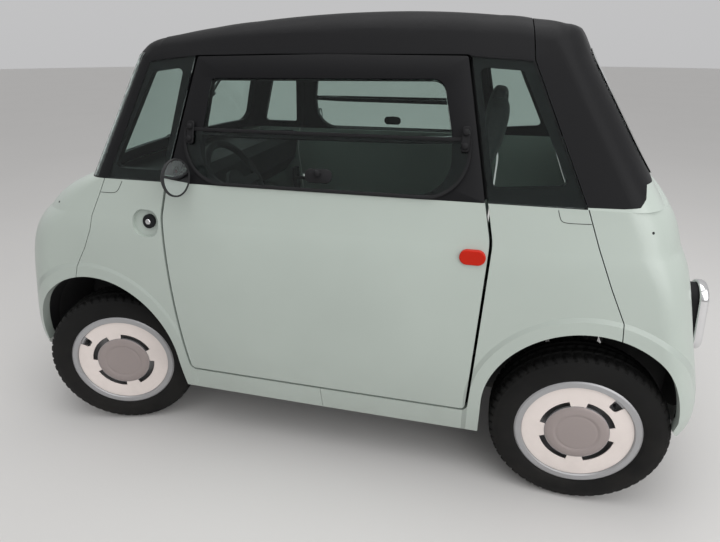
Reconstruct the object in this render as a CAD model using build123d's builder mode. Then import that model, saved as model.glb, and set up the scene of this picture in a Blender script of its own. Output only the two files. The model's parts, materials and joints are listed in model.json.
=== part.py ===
"""Small two-seat electric city car, standing on its four wheels.

Millimetres, +Z up, origin on the ground at the middle of the car. The nose points to -X and
the driver's side is -Y. The lower body is one plan outline lofted over height, the cabin is a
second one that leans in, and both are cut into panels along seams drawn in the side view.
The front wheels are stored turned to the left, as the car is parked.
"""

import os
from math import cos, radians, sin, sqrt

from build123d import *

os.makedirs("parts", exist_ok=True)

# Axles and wheels
WHEELBASE = 1728.0
HUB_HEIGHT = 278.5
TYRE_RADIUS = 278.5
TYRE_WIDTH = 155.0
WHEEL_CENTRE_Y = 582.5
KINGPIN_Y = 531.0
PARKED_STEER = 17.8
BEAD_RADIUS = 178.0
TYRE_WALL = 11.0
TRIM_RADIUS = 195.0
TRIM_WIDTH = 24.0
COVER_HOLE_RADIUS = 101.0
COVER_THICKNESS = 3.0
CAP_RADIUS = 99.0
SLOT_COUNT = 4
SLOT_ARC = 50.0
SLOT_WIDTH = 16.0
SPINDLE_RADIUS = 14.0
KINGPIN_BARREL_RADIUS = 18.0
KINGPIN_BARREL_HEIGHT = 134.0

# Body outline
NOSE_BULGE = 45.0
SIDE_RADIUS = 85500.0
SILL_HEIGHT = 212.0
CREASE_HEIGHT = 897.0
BELT_HEIGHT = 1018.0
LOFT_TOP = 1540.0
ROOF_HEIGHT = 1527.0
ROOF_EDGE_RADIUS = 90.0
HALF_SPAN = 900.0
BUMPER_BOTTOM = 282.0

# Walls and fits
PANEL_WALL = 30.0
DOOR_WALL = 45.0
UPPER_WALL = 28.0
ROOF_WALL = 25.0
GLASS = 5.0
FLAP_GLASS = 5.0
SEAT_FIT = 0.3
PANEL_GAP = 3.0
DOOR_GAP = 9.0
RUNNING_FIT = 0.3

# Wheel arches
ARCH_X = 852.0
ARCH_Z = 362.0
ARCH_RADIUS = 298.0
LINER_Z = 340.0
LINER_RADIUS = 322.0
LINER_WALL = 4.0
LINER_INNER_Y = 345.0
SUSPENSION_GAP = 190.0

# Door
DOOR_BOTTOM = 312.0
DOOR_BOTTOM_HALF = 508.0
DOOR_CREASE_HALF = 536.0
DOOR_BELT_HALF = 512.0
DOOR_TOP = 1402.0
DOOR_TOP_HALF = 428.0
DOOR_FOOT_CORNER = 22.0
DOOR_CREASE_CORNER = 160.0
DOOR_TOP_CORNER = 12.0
HINGE_X = 486.0
HINGE_Y = 683.0
HINGE_LEVELS = (500.0, 745.0)
HINGE_PIN_RADIUS = 5.0
HINGE_PIN_HEIGHT = 46.0
HINGE_ARM = 16.0

# Chassis
RAIL_Y = 300.0
RAIL_WIDTH = 50.0
RAIL_HEIGHT = 60.0
RAIL_BOTTOM = 180.0
RAIL_END = 1120.0
RAIL_WALL = 3.0
FLOOR_THICKNESS = 8.0
FLOOR_HALF_LENGTH = 528.0
FLOOR_HALF_WIDTH = 596.0
FOOTWELL_HALF_WIDTH = 332.0
FOOTWELL_FRONT = 780.0
BULKHEAD_TOP = 690.0

FLOOR_BOTTOM = RAIL_BOTTOM + RAIL_HEIGHT
AXLE_X = WHEELBASE / 2

# Plan outline by height: z, nose, its corner radius and bulge, tail, its corner radius and
# bulge, half width at mid-length
LOWER_ROWS = (
    (SILL_HEIGHT, 1150, 120, NOSE_BULGE, 1150, 120, NOSE_BULGE, 642),
    (378, 1222, 140, NOSE_BULGE, 1222, 140, NOSE_BULGE, 680),
    (600, 1170, 140, NOSE_BULGE, 1168, 140, NOSE_BULGE, 698),
    (760, 1138, 150, NOSE_BULGE, 1126, 150, NOSE_BULGE, 693),
    (CREASE_HEIGHT, 1044, 160, NOSE_BULGE, 1068, 160, NOSE_BULGE, 673),
)
BELT_ROWS = (
    (CREASE_HEIGHT, 1044, 160, NOSE_BULGE, 1068, 160, NOSE_BULGE, 673),
    (955, 962, 130, 75, 1048, 160, NOSE_BULGE, 662),
    (BELT_HEIGHT, 822, 95, 100, 1007, 150, NOSE_BULGE, 652),
)
CABIN_ROWS = (
    (BELT_HEIGHT, 814, 80, 90, 995, 110, 45, 651),
    (LOFT_TOP, 599, 80, 70, 671, 90, 45, 461),
)


def side_drop(x):
    """How far the bowed side has come in at a distance from mid-length."""
    return SIDE_RADIUS - sqrt(SIDE_RADIUS ** 2 - x ** 2)


def plan_section(row, inset):
    """The body's outline at one height: four shallow arcs with rounded corners."""
    level, nose, nose_corner, nose_bulge, tail, tail_corner, tail_bulge, side = row
    front, rear, flank = -nose + inset, tail - inset, side - inset
    front_edge, rear_edge = flank - side_drop(front), flank - side_drop(rear)
    with BuildSketch(Plane.XY.offset(level)) as outline:
        with BuildLine():
            ThreePointArc((front, -front_edge), (front - nose_bulge, 0), (front, front_edge))
            ThreePointArc((front, front_edge), (0, flank), (rear, rear_edge))
            ThreePointArc((rear, rear_edge), (rear + tail_bulge, 0), (rear, -rear_edge))
            ThreePointArc((rear, -rear_edge), (0, -flank), (front, -front_edge))
        make_face()
        corners = outline.vertices().sort_by(Axis.X)
        fillet(corners[:2], nose_corner - inset)
        fillet(outline.vertices().sort_by(Axis.X)[-2:], tail_corner - inset)
    return outline.sketch


def lower_form(inset):
    """The lower body as a solid block, its skin moved in by the inset."""
    with BuildPart() as form:
        loft(sections=[plan_section(row, inset) for row in LOWER_ROWS])
        loft(sections=[plan_section(row, inset) for row in BELT_ROWS])
    return form.part


def cabin_block(inset):
    """The leaning cabin walls as a solid block, without the roof."""
    with BuildPart() as block:
        loft(sections=[plan_section(row, inset) for row in CABIN_ROWS], ruled=True)
    return block.part


def cabin_form(inset):
    """The cabin as a solid block with its rounded roof edge."""
    roof = ROOF_HEIGHT - inset
    with BuildPart() as form:
        add(cabin_block(inset))
        with BuildSketch(Plane.XZ):
            with BuildLine():
                Polyline((-250, roof), (500, roof))
                ThreePointArc((500, roof), (690, roof - 37), (760, roof - 72))
                Polyline((760, roof - 72), (1200, 1200), (1200, 900), (-1200, 900), (-1200, 1200))
                Line((-1200, 1200), (-760, roof - 72))
                ThreePointArc((-760, roof - 72), (-560, roof - 26.3), (-250, roof))
            make_face()
        extrude(amount=HALF_SPAN, both=True, mode=Mode.INTERSECT)
        upper = form.edges().filter_by(lambda e: e.center().Z > 1400)
        rim = upper.filter_by(lambda e: not (e.geom_type == GeomType.LINE and abs(e.center().Y) < 1))
        fillet(rim, ROOF_EDGE_RADIUS - inset)
    return form.part


def skin(outer, inner):
    """The layer of the body between two insets."""
    with BuildPart() as layer:
        add(outer)
        add(inner, mode=Mode.SUBTRACT)
    return layer.part


def side_prism(points, low=-HALF_SPAN, high=HALF_SPAN):
    """A side-view outline carried across the car from one y to another."""
    with BuildPart() as prism:
        with BuildSketch(Plane.XZ.offset(-low)):
            with BuildLine():
                Polyline(*points, close=True)
            make_face()
        extrude(amount=low - high)
    return prism.part


def door_outline(grow):
    """The door's outline in the side view, grown by an amount, as a sketch on XZ."""
    with BuildSketch(Plane.XZ) as outline:
        with BuildLine():
            Polyline(
                (-DOOR_BOTTOM_HALF, DOOR_BOTTOM), (DOOR_BOTTOM_HALF, DOOR_BOTTOM),
                (DOOR_CREASE_HALF, 905), (DOOR_BELT_HALF, BELT_HEIGHT),
                (DOOR_TOP_HALF, DOOR_TOP), (-DOOR_TOP_HALF, DOOR_TOP),
                (-DOOR_BELT_HALF, BELT_HEIGHT), (-DOOR_CREASE_HALF, 905), close=True)
        make_face()
        levels = outline.vertices().group_by(Axis.Y)
        fillet(levels[0] , DOOR_FOOT_CORNER)
        fillet(outline.vertices().group_by(Axis.Y)[-1], DOOR_TOP_CORNER)
        fillet(outline.vertices().filter_by(lambda v: abs(v.Y - CREASE_HEIGHT) < 20), DOOR_CREASE_CORNER)
        offset(amount=grow)
    return outline.sketch


def door_prism(grow):
    with BuildPart() as prism:
        extrude(door_outline(grow), amount=HALF_SPAN, both=True)
    return prism.part


def left_half():
    """A block over the driver's side of the car."""
    with BuildPart() as block:
        with BuildSketch(Plane.XY):
            with Locations((0, -HALF_SPAN / 2)):
                Rectangle(3200, HALF_SPAN)
        extrude(amount=1700)
    return block.part


def arch_prism(radius, grow=0.0):
    """Both wheel arches as holes across the car: a round top, straight sides below."""
    with BuildPart() as prism:
        with BuildSketch(Plane.XZ):
            for x in (-ARCH_X, ARCH_X):
                with Locations((x, ARCH_Z)):
                    Circle(radius + grow)
                with Locations((x, ARCH_Z / 2)):
                    Rectangle(2 * (radius + grow), ARCH_Z)
        extrude(amount=HALF_SPAN, both=True)
    return prism.part


def save(part, label):
    part.label = label
    export_step(part, f"parts/{label}.step")


def mirrored(part):
    """The same piece on the passenger's side."""
    with BuildPart() as piece:
        mirror(part, about=Plane.XZ)
    return piece.part


def turned(part):
    """The same piece turned half round about the car's middle."""
    with BuildPart() as piece:
        add(part, rotation=(0, 0, 180))
    return piece.part


# Panel seams in the side view
FRONT_SEAM = ((-740, 1030), (-808, 892), (-822, 838), (-853, 772), (-899, 699), (-920, 640), (-920, 0))
REAR_SEAM = ((779, 1030), (825, 914), (872, 807), (921, 706), (928, 640), (928, 0))
ROOF_SEAM = ((-620, 1420), (-598, 1383), (-444, 1401), (14, 1411), (415, 1407), (603, 1392))
TAIL_SEAM = ((585, 1560), (590, 1504), (603, 1392), (781, BELT_HEIGHT))
TAIL_SILL = ((781, BELT_HEIGHT + 5), (872, BELT_HEIGHT + 7), (918, 1030), (937, 1050), (943, 1082), (1300, 1086))

lower = {inset: lower_form(inset) for inset in (0, PANEL_WALL, DOOR_WALL)}
lower_fit = lower_form(PANEL_WALL + SEAT_FIT)
cabin = {inset: cabin_form(inset) for inset in (0, GLASS, UPPER_WALL)}
cabin_glass_seat = cabin_form(GLASS + SEAT_FIT)
lower_skin = skin(lower[0], lower[PANEL_WALL])
cabin_skin = skin(cabin[0], cabin[UPPER_WALL])
pane_skin = skin(cabin[0], cabin[GLASS])
frame_skin = skin(cabin_glass_seat, cabin[UPPER_WALL])
half = left_half()
arch_cut = arch_prism(ARCH_RADIUS)
door_cut = door_prism(DOOR_GAP / 2)
door_solid = door_prism(-DOOR_GAP / 2)

# Nose and tail panels, open below, with the arch edge and the rising bumper corner
bumper_cut_points = ((-1400, 0), (-1400, BUMPER_BOTTOM), (-1205, BUMPER_BOTTOM), (-1105, 385), (-1000, 385), (-1000, 0))
with BuildPart() as front_panel:
    add(lower_skin)
    add(side_prism(((-1400, 0), *reversed([(x - PANEL_GAP / 2, z) for x, z in FRONT_SEAM]), (-1400, 1030))),
        mode=Mode.INTERSECT)
    add(arch_cut, mode=Mode.SUBTRACT)
    add(side_prism(bumper_cut_points), mode=Mode.SUBTRACT)
save(front_panel.part, "front_panel")

with BuildPart() as rear_panel:
    add(lower_skin)
    add(side_prism((*[(x + PANEL_GAP / 2, z) for x, z in REAR_SEAM], (1400, 0), (1400, 1030))),
        mode=Mode.INTERSECT)
    add(arch_cut, mode=Mode.SUBTRACT)
    add(side_prism([(-x, z) for x, z in bumper_cut_points]), mode=Mode.SUBTRACT)
with BuildPart() as tail_sill:
    add(cabin_skin)
    add(side_prism((TAIL_SILL[0], *TAIL_SILL[1:], (1300, BELT_HEIGHT), (781, BELT_HEIGHT))), mode=Mode.INTERSECT)
with BuildPart() as rear_body:
    add(rear_panel.part)
    add(tail_sill.part)
save(rear_body.part, "rear_panel")

# Wings: the side between a seam and the door, with the sill strip under half the door
with BuildPart() as wing_front:
    add(lower_skin)
    add(side_prism((*[(x + PANEL_GAP / 2, z) for x, z in FRONT_SEAM], (-PANEL_GAP / 4, 0), (-PANEL_GAP / 4, 1030)),
                   -HALF_SPAN, 0), mode=Mode.INTERSECT)
    add(arch_cut, mode=Mode.SUBTRACT)
    add(door_cut, mode=Mode.SUBTRACT)

with BuildPart() as wing_rear:
    add(lower_skin)
    add(side_prism((*[(x - PANEL_GAP / 2, z) for x, z in REAR_SEAM], (PANEL_GAP / 4, 0), (PANEL_GAP / 4, 1030)),
                   -HALF_SPAN, 0), mode=Mode.INTERSECT)
    add(arch_cut, mode=Mode.SUBTRACT)
    add(door_cut, mode=Mode.SUBTRACT)

# Latch scoop beside the door's free edge, with its round push button
SCOOP = (-598.0, 878.0)
SCOOP_LENGTH = 98.0
SCOOP_HEIGHT = 92.0
SCOOP_CORNER = 40.0
SCOOP_DEPTH = 14.0
BUTTON = (-588.0, 884.0)
BUTTON_RADIUS = 23.0
BUTTON_DEPTH = 9.0
with BuildPart() as scoop:
    add(skin(lower[0], lower_form(SCOOP_DEPTH)))
    with BuildSketch(Plane.XZ) as scoop_outline:
        with Locations(SCOOP):
            RectangleRounded(SCOOP_LENGTH, SCOOP_HEIGHT, SCOOP_CORNER)
    extrude(amount=HALF_SPAN, mode=Mode.INTERSECT)
with BuildPart() as button:
    add(skin(lower_form(SCOOP_DEPTH - SEAT_FIT - BUTTON_DEPTH), lower_form(SCOOP_DEPTH - SEAT_FIT)))
    with BuildSketch(Plane.XZ):
        with Locations(BUTTON):
            Circle(BUTTON_RADIUS)
    extrude(amount=HALF_SPAN, mode=Mode.INTERSECT)
with BuildPart() as latch_buttons:
    add(button.part)
    add(button.part, rotation=(0, 0, 180))
save(latch_buttons.part, "latch_buttons")
save(mirrored(wing_front.part), "wing_front_right")
save(wing_rear.part, "wing_rear_left")
with BuildPart() as wing_front_left:
    add(wing_front.part)
    add(scoop.part, mode=Mode.SUBTRACT)
save(wing_front_left.part, "wing_front_left")
with BuildPart() as wing_rear_right:
    add(mirrored(wing_rear.part))
    add(scoop.part, rotation=(0, 0, 180), mode=Mode.SUBTRACT)
save(wing_rear_right.part, "wing_rear_right")

# Roof, with its lower edge falling to the windscreen and to the tail seam
VISOR_END = (-1000, 1440)
ROOF_TOP_CUT = 1600
with BuildPart() as roof:
    add(cabin[0])
    add(cabin_form(ROOF_WALL), mode=Mode.SUBTRACT)
    add(side_prism((*TAIL_SEAM[:3], *ROOF_SEAM[-2::-1], VISOR_END, (VISOR_END[0], ROOF_TOP_CUT))), mode=Mode.INTERSECT)
save(roof.part, "roof")

# Tail surround with the rear window opening
tail_edge = [(x + PANEL_GAP, z) for x, z in TAIL_SEAM]


def rear_window_prism(grow):
    """The rear window's outline in the end view, carried through the tail."""
    with BuildPart() as prism:
        with BuildSketch(Plane.YZ.offset(500)) as outline:
            with BuildLine():
                Polyline((-505, 1112), (505, 1112), (400, 1392), (-400, 1392), close=True)
            make_face()
            fillet(outline.vertices(), 45)
            offset(amount=grow)
        extrude(amount=700)
    return prism.part


with BuildPart() as rear_surround:
    add(cabin_skin)
    add(side_prism((*tail_edge[:-1], *[(x, z + SEAT_FIT) for x, z in TAIL_SILL], (1300, ROOF_TOP_CUT))),
        mode=Mode.INTERSECT)
    add(rear_window_prism(0), mode=Mode.SUBTRACT)
save(rear_surround.part, "rear_surround")

# Glass that lies on the outside of its frame: the rear window and the door's lower flap
proud_skin = skin(cabin_form(-GLASS - SEAT_FIT), cabin_form(-SEAT_FIT))
REAR_GLASS_LAP = 26.0
with BuildPart() as rear_window:
    add(proud_skin)
    add(rear_window_prism(REAR_GLASS_LAP), mode=Mode.INTERSECT)
save(rear_window.part, "rear_window")

# Windscreen and quarter panes, flush in the black cabin frame
A_PILLAR = ((-620, 1420), (-775, BELT_HEIGHT))
A_SEAM = ((-598, 1383), (-737, BELT_HEIGHT))
PANE_FOOT = BELT_HEIGHT + 2.0
screen_region = side_prism(((-1200, PANE_FOOT), (A_PILLAR[1][0] - PANEL_GAP / 2, PANE_FOOT),
                            (A_PILLAR[0][0] - PANEL_GAP / 2, A_PILLAR[0][1] - PANEL_GAP), (-1200, 1447)))
quarter_region_points = (
    ((A_SEAM[1][0] + PANEL_GAP / 2, PANE_FOOT), (A_SEAM[0][0] + PANEL_GAP / 2, A_SEAM[0][1] - PANEL_GAP),
     (-444, 1401 - PANEL_GAP), (-400, 1402 - PANEL_GAP), (-400, PANE_FOOT)),
    ((400, PANE_FOOT), (400, 1407 - PANEL_GAP), (603 - PANEL_GAP, 1392 - PANEL_GAP), (781 - PANEL_GAP, PANE_FOOT)),
)


def quarter_prism(points, grow=0.0):
    """A quarter pane's outline, held back from the door's edge."""
    with BuildPart() as prism:
        add(side_prism(points))
        add(door_cut, mode=Mode.SUBTRACT)
    return prism.part


with BuildPart() as windscreen:
    add(pane_skin)
    add(screen_region, mode=Mode.INTERSECT)
save(windscreen.part, "windscreen")

quarter_prisms = [quarter_prism(points) for points in quarter_region_points]
with BuildPart() as quarter_glass:
    for prism in quarter_prisms:
        with BuildPart(mode=Mode.PRIVATE) as pane:
            add(pane_skin)
            add(prism, mode=Mode.INTERSECT)
        add(pane.part)
save(quarter_glass.part, "quarter_glass")

# Quarter window openings in the frame, as side-view outlines
FRONT_QUARTER_OPENING = ((-690, 1052), (-564, 1350), (-474, 1364), (-528, 1052))
REAR_QUARTER_OPENING = ((548, 1056), (478, 1372), (577, 1364), (728, 1072))
QUARTER_CORNER = 14.0


def rounded_prism(points, radius, grow=0.0, low=-HALF_SPAN, high=HALF_SPAN):
    """A side-view outline with rounded corners, carried across the car."""
    with BuildPart() as prism:
        with BuildSketch(Plane.XZ.offset(-low)) as outline:
            with BuildLine():
                Polyline(*points, close=True)
            make_face()
            fillet(outline.vertices(), radius)
            if grow:
                offset(amount=grow)
        extrude(amount=low - high)
    return prism.part


glass_rebate = skin(cabin[0], cabin_glass_seat)
with BuildPart() as cabin_frame:
    add(cabin_skin)
    add(side_prism(((-1200, BELT_HEIGHT), (-1200, 1440), (ROOF_SEAM[0][0], ROOF_SEAM[0][1] - SEAT_FIT),
                    *[(x, z - SEAT_FIT) for x, z in ROOF_SEAM[1:]], (781, BELT_HEIGHT))), mode=Mode.INTERSECT)
    add(door_cut, mode=Mode.SUBTRACT)
    for prism in (screen_region, *quarter_prisms):
        with BuildPart(mode=Mode.PRIVATE) as rebate:
            add(glass_rebate)
            add(prism, mode=Mode.INTERSECT)
        add(rebate.part, mode=Mode.SUBTRACT)
    for points in (FRONT_QUARTER_OPENING, REAR_QUARTER_OPENING):
        add(rounded_prism(points, QUARTER_CORNER), mode=Mode.SUBTRACT)
    with BuildSketch(Plane.YZ.offset(-1000)) as screen_opening:
        with BuildLine():
            Polyline((-565, 1062), (565, 1062), (450, 1388), (-450, 1388), close=True)
        make_face()
        fillet(screen_opening.vertices(), 40)
    extrude(amount=420, mode=Mode.SUBTRACT)
save(cabin_frame.part, "cabin_frame")

# Door: painted lower panel, black upper frame with a fixed pane above a bar and a flap below it
FIXED_PANE = ((-404, 1197), (-384, 1343), (384, 1343), (404, 1197))
FIXED_PANE_CORNER = 30.0
PANE_LAP = 10.0
FLAP_OPENING = ((-408, 1178), (408, 1178), (408, 1040), (-408, 1040))
FLAP_EDGE = ((-450, 1182), (450, 1182), (440, 1024), (-440, 1024))
FLAP_CORNER = 92.0

with BuildPart() as door_panel:
    add(skin(lower[0], lower[DOOR_WALL]))
    add(door_solid, mode=Mode.INTERSECT)
    add(half, mode=Mode.INTERSECT)
    for level in HINGE_LEVELS:
        pocket = HINGE_ARM / 2 + 5
        with BuildSketch(Plane.XY.offset(level - pocket)):
            with Locations((HINGE_X - 13, -HINGE_Y - 6.5)):
                Rectangle(120, 120, align=(Align.MIN, Align.MIN))
        extrude(amount=2 * pocket, mode=Mode.SUBTRACT)
        with BuildSketch(Plane.XY.offset(level - HINGE_PIN_HEIGHT / 2 - 1)):
            with Locations((HINGE_X, -HINGE_Y)):
                Circle(HINGE_PIN_RADIUS + RUNNING_FIT)
        extrude(amount=HINGE_PIN_HEIGHT + 2, mode=Mode.SUBTRACT)
save(door_panel.part, "door_panel_left")
save(turned(door_panel.part), "door_panel_right")

pane_outline = rounded_prism(FIXED_PANE, FIXED_PANE_CORNER, PANE_LAP, -HALF_SPAN, 0)


def flap_prism(points, corner, grow):
    """A flap outline: square at the bar above, large rounded corners below."""
    with BuildPart() as prism:
        with BuildSketch(Plane.XZ) as outline:
            with BuildLine():
                Polyline(*points, close=True)
            make_face()
            fillet(outline.vertices().group_by(Axis.Y)[0], corner)
            if grow:
                offset(amount=grow)
        extrude(amount=HALF_SPAN)
    return prism.part


with BuildPart() as door_frame:
    add(cabin_skin)
    add(door_solid, mode=Mode.INTERSECT)
    add(half, mode=Mode.INTERSECT)
    add(rounded_prism(FIXED_PANE, FIXED_PANE_CORNER), mode=Mode.SUBTRACT)
    add(flap_prism(FLAP_OPENING, 80, 0), mode=Mode.SUBTRACT)
    with BuildPart(mode=Mode.PRIVATE) as rebate:
        add(glass_rebate)
        add(rounded_prism(FIXED_PANE, FIXED_PANE_CORNER, PANE_LAP + SEAT_FIT, -HALF_SPAN, 0), mode=Mode.INTERSECT)
    add(rebate.part, mode=Mode.SUBTRACT)
save(door_frame.part, "door_frame_left")
save(turned(door_frame.part), "door_frame_right")

with BuildPart() as fixed_pane:
    add(pane_skin)
    add(pane_outline, mode=Mode.INTERSECT)
with BuildPart() as flap:
    add(proud_skin)
    add(flap_prism(FLAP_EDGE, FLAP_CORNER, 0), mode=Mode.INTERSECT)
with BuildPart() as door_glass:
    add(fixed_pane.part)
    add(flap.part)
save(door_glass.part, "door_glass_left")
save(turned(door_glass.part), "door_glass_right")

# Side marker lamp, standing out of the door skin
MARKER = (487.0, 863.0)
MARKER_LENGTH = 76.0
MARKER_HEIGHT = 46.0
MARKER_FACE = 688.0
outer_seat = lower_form(-SEAT_FIT)
with BuildPart() as marker:
    with BuildSketch(Plane.XZ.offset(MARKER_FACE)):
        with Locations(MARKER):
            SlotOverall(MARKER_LENGTH, MARKER_HEIGHT)
    extrude(amount=-40)
    fillet(marker.faces().sort_by(Axis.Y)[0].edges(), 4)
    add(outer_seat, mode=Mode.SUBTRACT)
save(marker.part, "side_marker_left")
save(turned(marker.part), "side_marker_right")

# Hinges: a post behind the wing, with two arms that reach round to pins in the door's edge
ARM_REACH = 75.0
POST_X = (546.0, 562.0)
POST_Z = (470.0, 800.0)
with BuildPart() as hinge:
    with BuildSketch(Plane.XY.offset(POST_Z[0])):
        with Locations((POST_X[0], -700)):
            Rectangle(POST_X[1] - POST_X[0], 700 - HINGE_Y + ARM_REACH + 8, align=(Align.MIN, Align.MIN))
    extrude(amount=POST_Z[1] - POST_Z[0])
    add(lower_fit, mode=Mode.INTERSECT)
    for level in HINGE_LEVELS:
        with BuildSketch(Plane.XY.offset(level - HINGE_ARM / 2)):
            with Locations((HINGE_X - 4, -HINGE_Y)):
                Rectangle(8, ARM_REACH + 8, align=(Align.MIN, Align.MIN))
            with Locations((HINGE_X - 4, -HINGE_Y + ARM_REACH)):
                Rectangle(POST_X[1] - HINGE_X + 4, 8, align=(Align.MIN, Align.MIN))
            with Locations((HINGE_X, -HINGE_Y)):
                Circle(HINGE_PIN_RADIUS)
        extrude(amount=HINGE_ARM)
        with BuildSketch(Plane.XY.offset(level - HINGE_PIN_HEIGHT / 2)):
            with Locations((HINGE_X, -HINGE_Y)):
                Circle(HINGE_PIN_RADIUS)
        extrude(amount=HINGE_PIN_HEIGHT)
with BuildPart() as door_hinges:
    add(hinge.part)
    add(hinge.part, rotation=(0, 0, 180))
save(door_hinges.part, "door_hinges")

# Wheels, drawn about their own axle: +Z points out of the car, z = 0 is mid-width
half_width = TYRE_WIDTH / 2
with BuildPart() as tyre:
    with BuildSketch(Plane.XZ) as tyre_half:
        with BuildLine():
            Polyline((BEAD_RADIUS, 44), (BEAD_RADIUS, 60), (196, 67))
            ThreePointArc((196, 67), (226, half_width), (260, 70))
            ThreePointArc((260, 70), (272, 64), (TYRE_RADIUS - 1.5, 52))
            ThreePointArc((TYRE_RADIUS - 1.5, 52), (TYRE_RADIUS - 0.4, 26), (TYRE_RADIUS, 0))
            Line((TYRE_RADIUS, 0), (TYRE_RADIUS - TYRE_WALL, 0))
            Line((TYRE_RADIUS - TYRE_WALL, 0), (TYRE_RADIUS - TYRE_WALL, 48))
            ThreePointArc((TYRE_RADIUS - TYRE_WALL, 48), (226, half_width - TYRE_WALL), (196, 60))
            Line((196, 60), (BEAD_RADIUS, 44))
        make_face()
        mirror(about=Plane.XZ)
    revolve(axis=Axis.Z)

RIM_BARREL = 168.0
RIM_LIP = 72.5
COVER_FACE = 66.0
with BuildPart() as rim:
    with BuildSketch(Plane.XZ):
        with BuildLine():
            Polyline(
                (BEAD_RADIUS - SEAT_FIT, -44), (BEAD_RADIUS - SEAT_FIT, -60.3), (194.7, -66.9), (TRIM_RADIUS, -69),
                (190, -RIM_LIP), (176, -RIM_LIP), (168, -60), (160, -50), (160, 6),
                (SPINDLE_RADIUS + 22, 6), (SPINDLE_RADIUS + 22, -22),
                (SPINDLE_RADIUS + RUNNING_FIT, -22), (SPINDLE_RADIUS + RUNNING_FIT, 14), (160, 14), (160, 55),
                (165, COVER_FACE - COVER_THICKNESS - SEAT_FIT), (171, COVER_FACE - COVER_THICKNESS - SEAT_FIT),
                (171, 68), (174, RIM_LIP), (190, RIM_LIP), (TRIM_RADIUS, 69), (194.7, 66.9),
                (BEAD_RADIUS - SEAT_FIT, 60.3), (BEAD_RADIUS - SEAT_FIT, 44), (168, 36), (168, -36), close=True)
        make_face()
    revolve(axis=Axis.Z)

with BuildPart() as cover:
    with BuildSketch(Plane.XY.offset(COVER_FACE - COVER_THICKNESS)):
        Circle(170.7)
        Circle(CAP_RADIUS + 0.4, mode=Mode.SUBTRACT)
        for index in range(SLOT_COUNT):
            SlotArc(CenterArc((0, 0), CAP_RADIUS + 5, 45 + index * 90 - SLOT_ARC / 2, SLOT_ARC),
                    SLOT_WIDTH, mode=Mode.SUBTRACT)
    extrude(amount=COVER_THICKNESS)

with BuildPart() as cap:
    with BuildSketch(Plane.XZ):
        with BuildLine():
            Polyline((0, COVER_FACE - 6), (CAP_RADIUS, COVER_FACE - 6), (CAP_RADIUS, COVER_FACE + 1))
            ThreePointArc((CAP_RADIUS, COVER_FACE + 1), (CAP_RADIUS - 30, COVER_FACE + 5), (68, COVER_FACE + 5.5))
            Polyline((68, COVER_FACE + 5.5), (66, COVER_FACE + 4), (0, COVER_FACE + 4), (0, COVER_FACE - 6))
        make_face()
    revolve(axis=Axis.Z)
with BuildPart() as rim_and_cap:
    add(rim.part)
    with BuildSketch(Plane.XY.offset(14)):
        Circle(24)
    extrude(amount=COVER_FACE - 6 - 14)
    add(cap.part)


def hub_plane(x, side, steer):
    """The plane across a wheel: local +Z points out of the car and local +Y is up."""
    turn = radians(steer)
    out = Vector(-side * sin(turn), side * cos(turn), 0)
    along = Vector(-side * cos(turn), -side * sin(turn), 0)
    pivot = Vector(x, side * KINGPIN_Y, HUB_HEIGHT)
    return Plane(origin=pivot + out * (WHEEL_CENTRE_Y - KINGPIN_Y), x_dir=along, z_dir=out)


def placed(part, plane):
    """A copy of a part carried from its own axes to a plane."""
    with BuildPart() as piece:
        with Locations(plane.location):
            add(part)
    return piece.part


# Wheel places: name, axle x, side, steering angle
WHEELS = (
    ("front_left", -AXLE_X, -1, PARKED_STEER),
    ("front_right", -AXLE_X, 1, PARKED_STEER),
    ("rear_left", AXLE_X, -1, 0.0),
    ("rear_right", AXLE_X, 1, 0.0),
)
for name, x, side, steer in WHEELS:
    plane = hub_plane(x, side, steer)
    save(placed(tyre.part, plane), f"tyre_{name}")
    save(placed(rim_and_cap.part, plane), f"rim_{name}")
    save(placed(cover.part, plane), f"wheel_cover_{name}")

# Steering knuckle: kingpin barrel and spindle
KINGPIN_INSET = WHEEL_CENTRE_Y - KINGPIN_Y
SPINDLE_END = 12.0
with BuildPart() as knuckle:
    with BuildSketch(Plane.XZ.offset(-KINGPIN_BARREL_HEIGHT / 2)):
        with Locations((0, -KINGPIN_INSET)):
            Circle(KINGPIN_BARREL_RADIUS)
    extrude(amount=KINGPIN_BARREL_HEIGHT)
    with BuildSketch(Plane.XY.offset(-KINGPIN_INSET)):
        Circle(SPINDLE_RADIUS)
    extrude(amount=KINGPIN_INSET + SPINDLE_END)
for name, x, side, steer in WHEELS[:2]:
    save(placed(knuckle.part, hub_plane(x, side, steer)), f"knuckle_{name.split('_')[1]}")

# Ladder frame: two box rails and cross members
CROSS_HEIGHT = 40.0
CROSS_TOP = RAIL_BOTTOM + (RAIL_HEIGHT + CROSS_HEIGHT) / 2
CROSS_MEMBERS = (-RAIL_END + RAIL_WIDTH / 2, -AXLE_X, -530, 0, 530, AXLE_X - 120, RAIL_END - RAIL_WIDTH / 2)
with BuildPart() as chassis_frame:
    with BuildSketch(Plane.YZ.offset(-RAIL_END)):
        with Locations((-RAIL_Y, RAIL_BOTTOM + RAIL_HEIGHT / 2), (RAIL_Y, RAIL_BOTTOM + RAIL_HEIGHT / 2)):
            Rectangle(RAIL_WIDTH, RAIL_HEIGHT)
            Rectangle(RAIL_WIDTH - 2 * RAIL_WALL, RAIL_HEIGHT - 2 * RAIL_WALL, mode=Mode.SUBTRACT)
    extrude(amount=2 * RAIL_END)
    with BuildSketch(Plane.XY.offset(CROSS_TOP)):
        with Locations([(x, 0) for x in CROSS_MEMBERS]):
            Rectangle(RAIL_WIDTH, 2 * RAIL_Y - RAIL_WIDTH)
    extrude(amount=-CROSS_HEIGHT)
save(chassis_frame.part, "chassis_frame")

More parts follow.
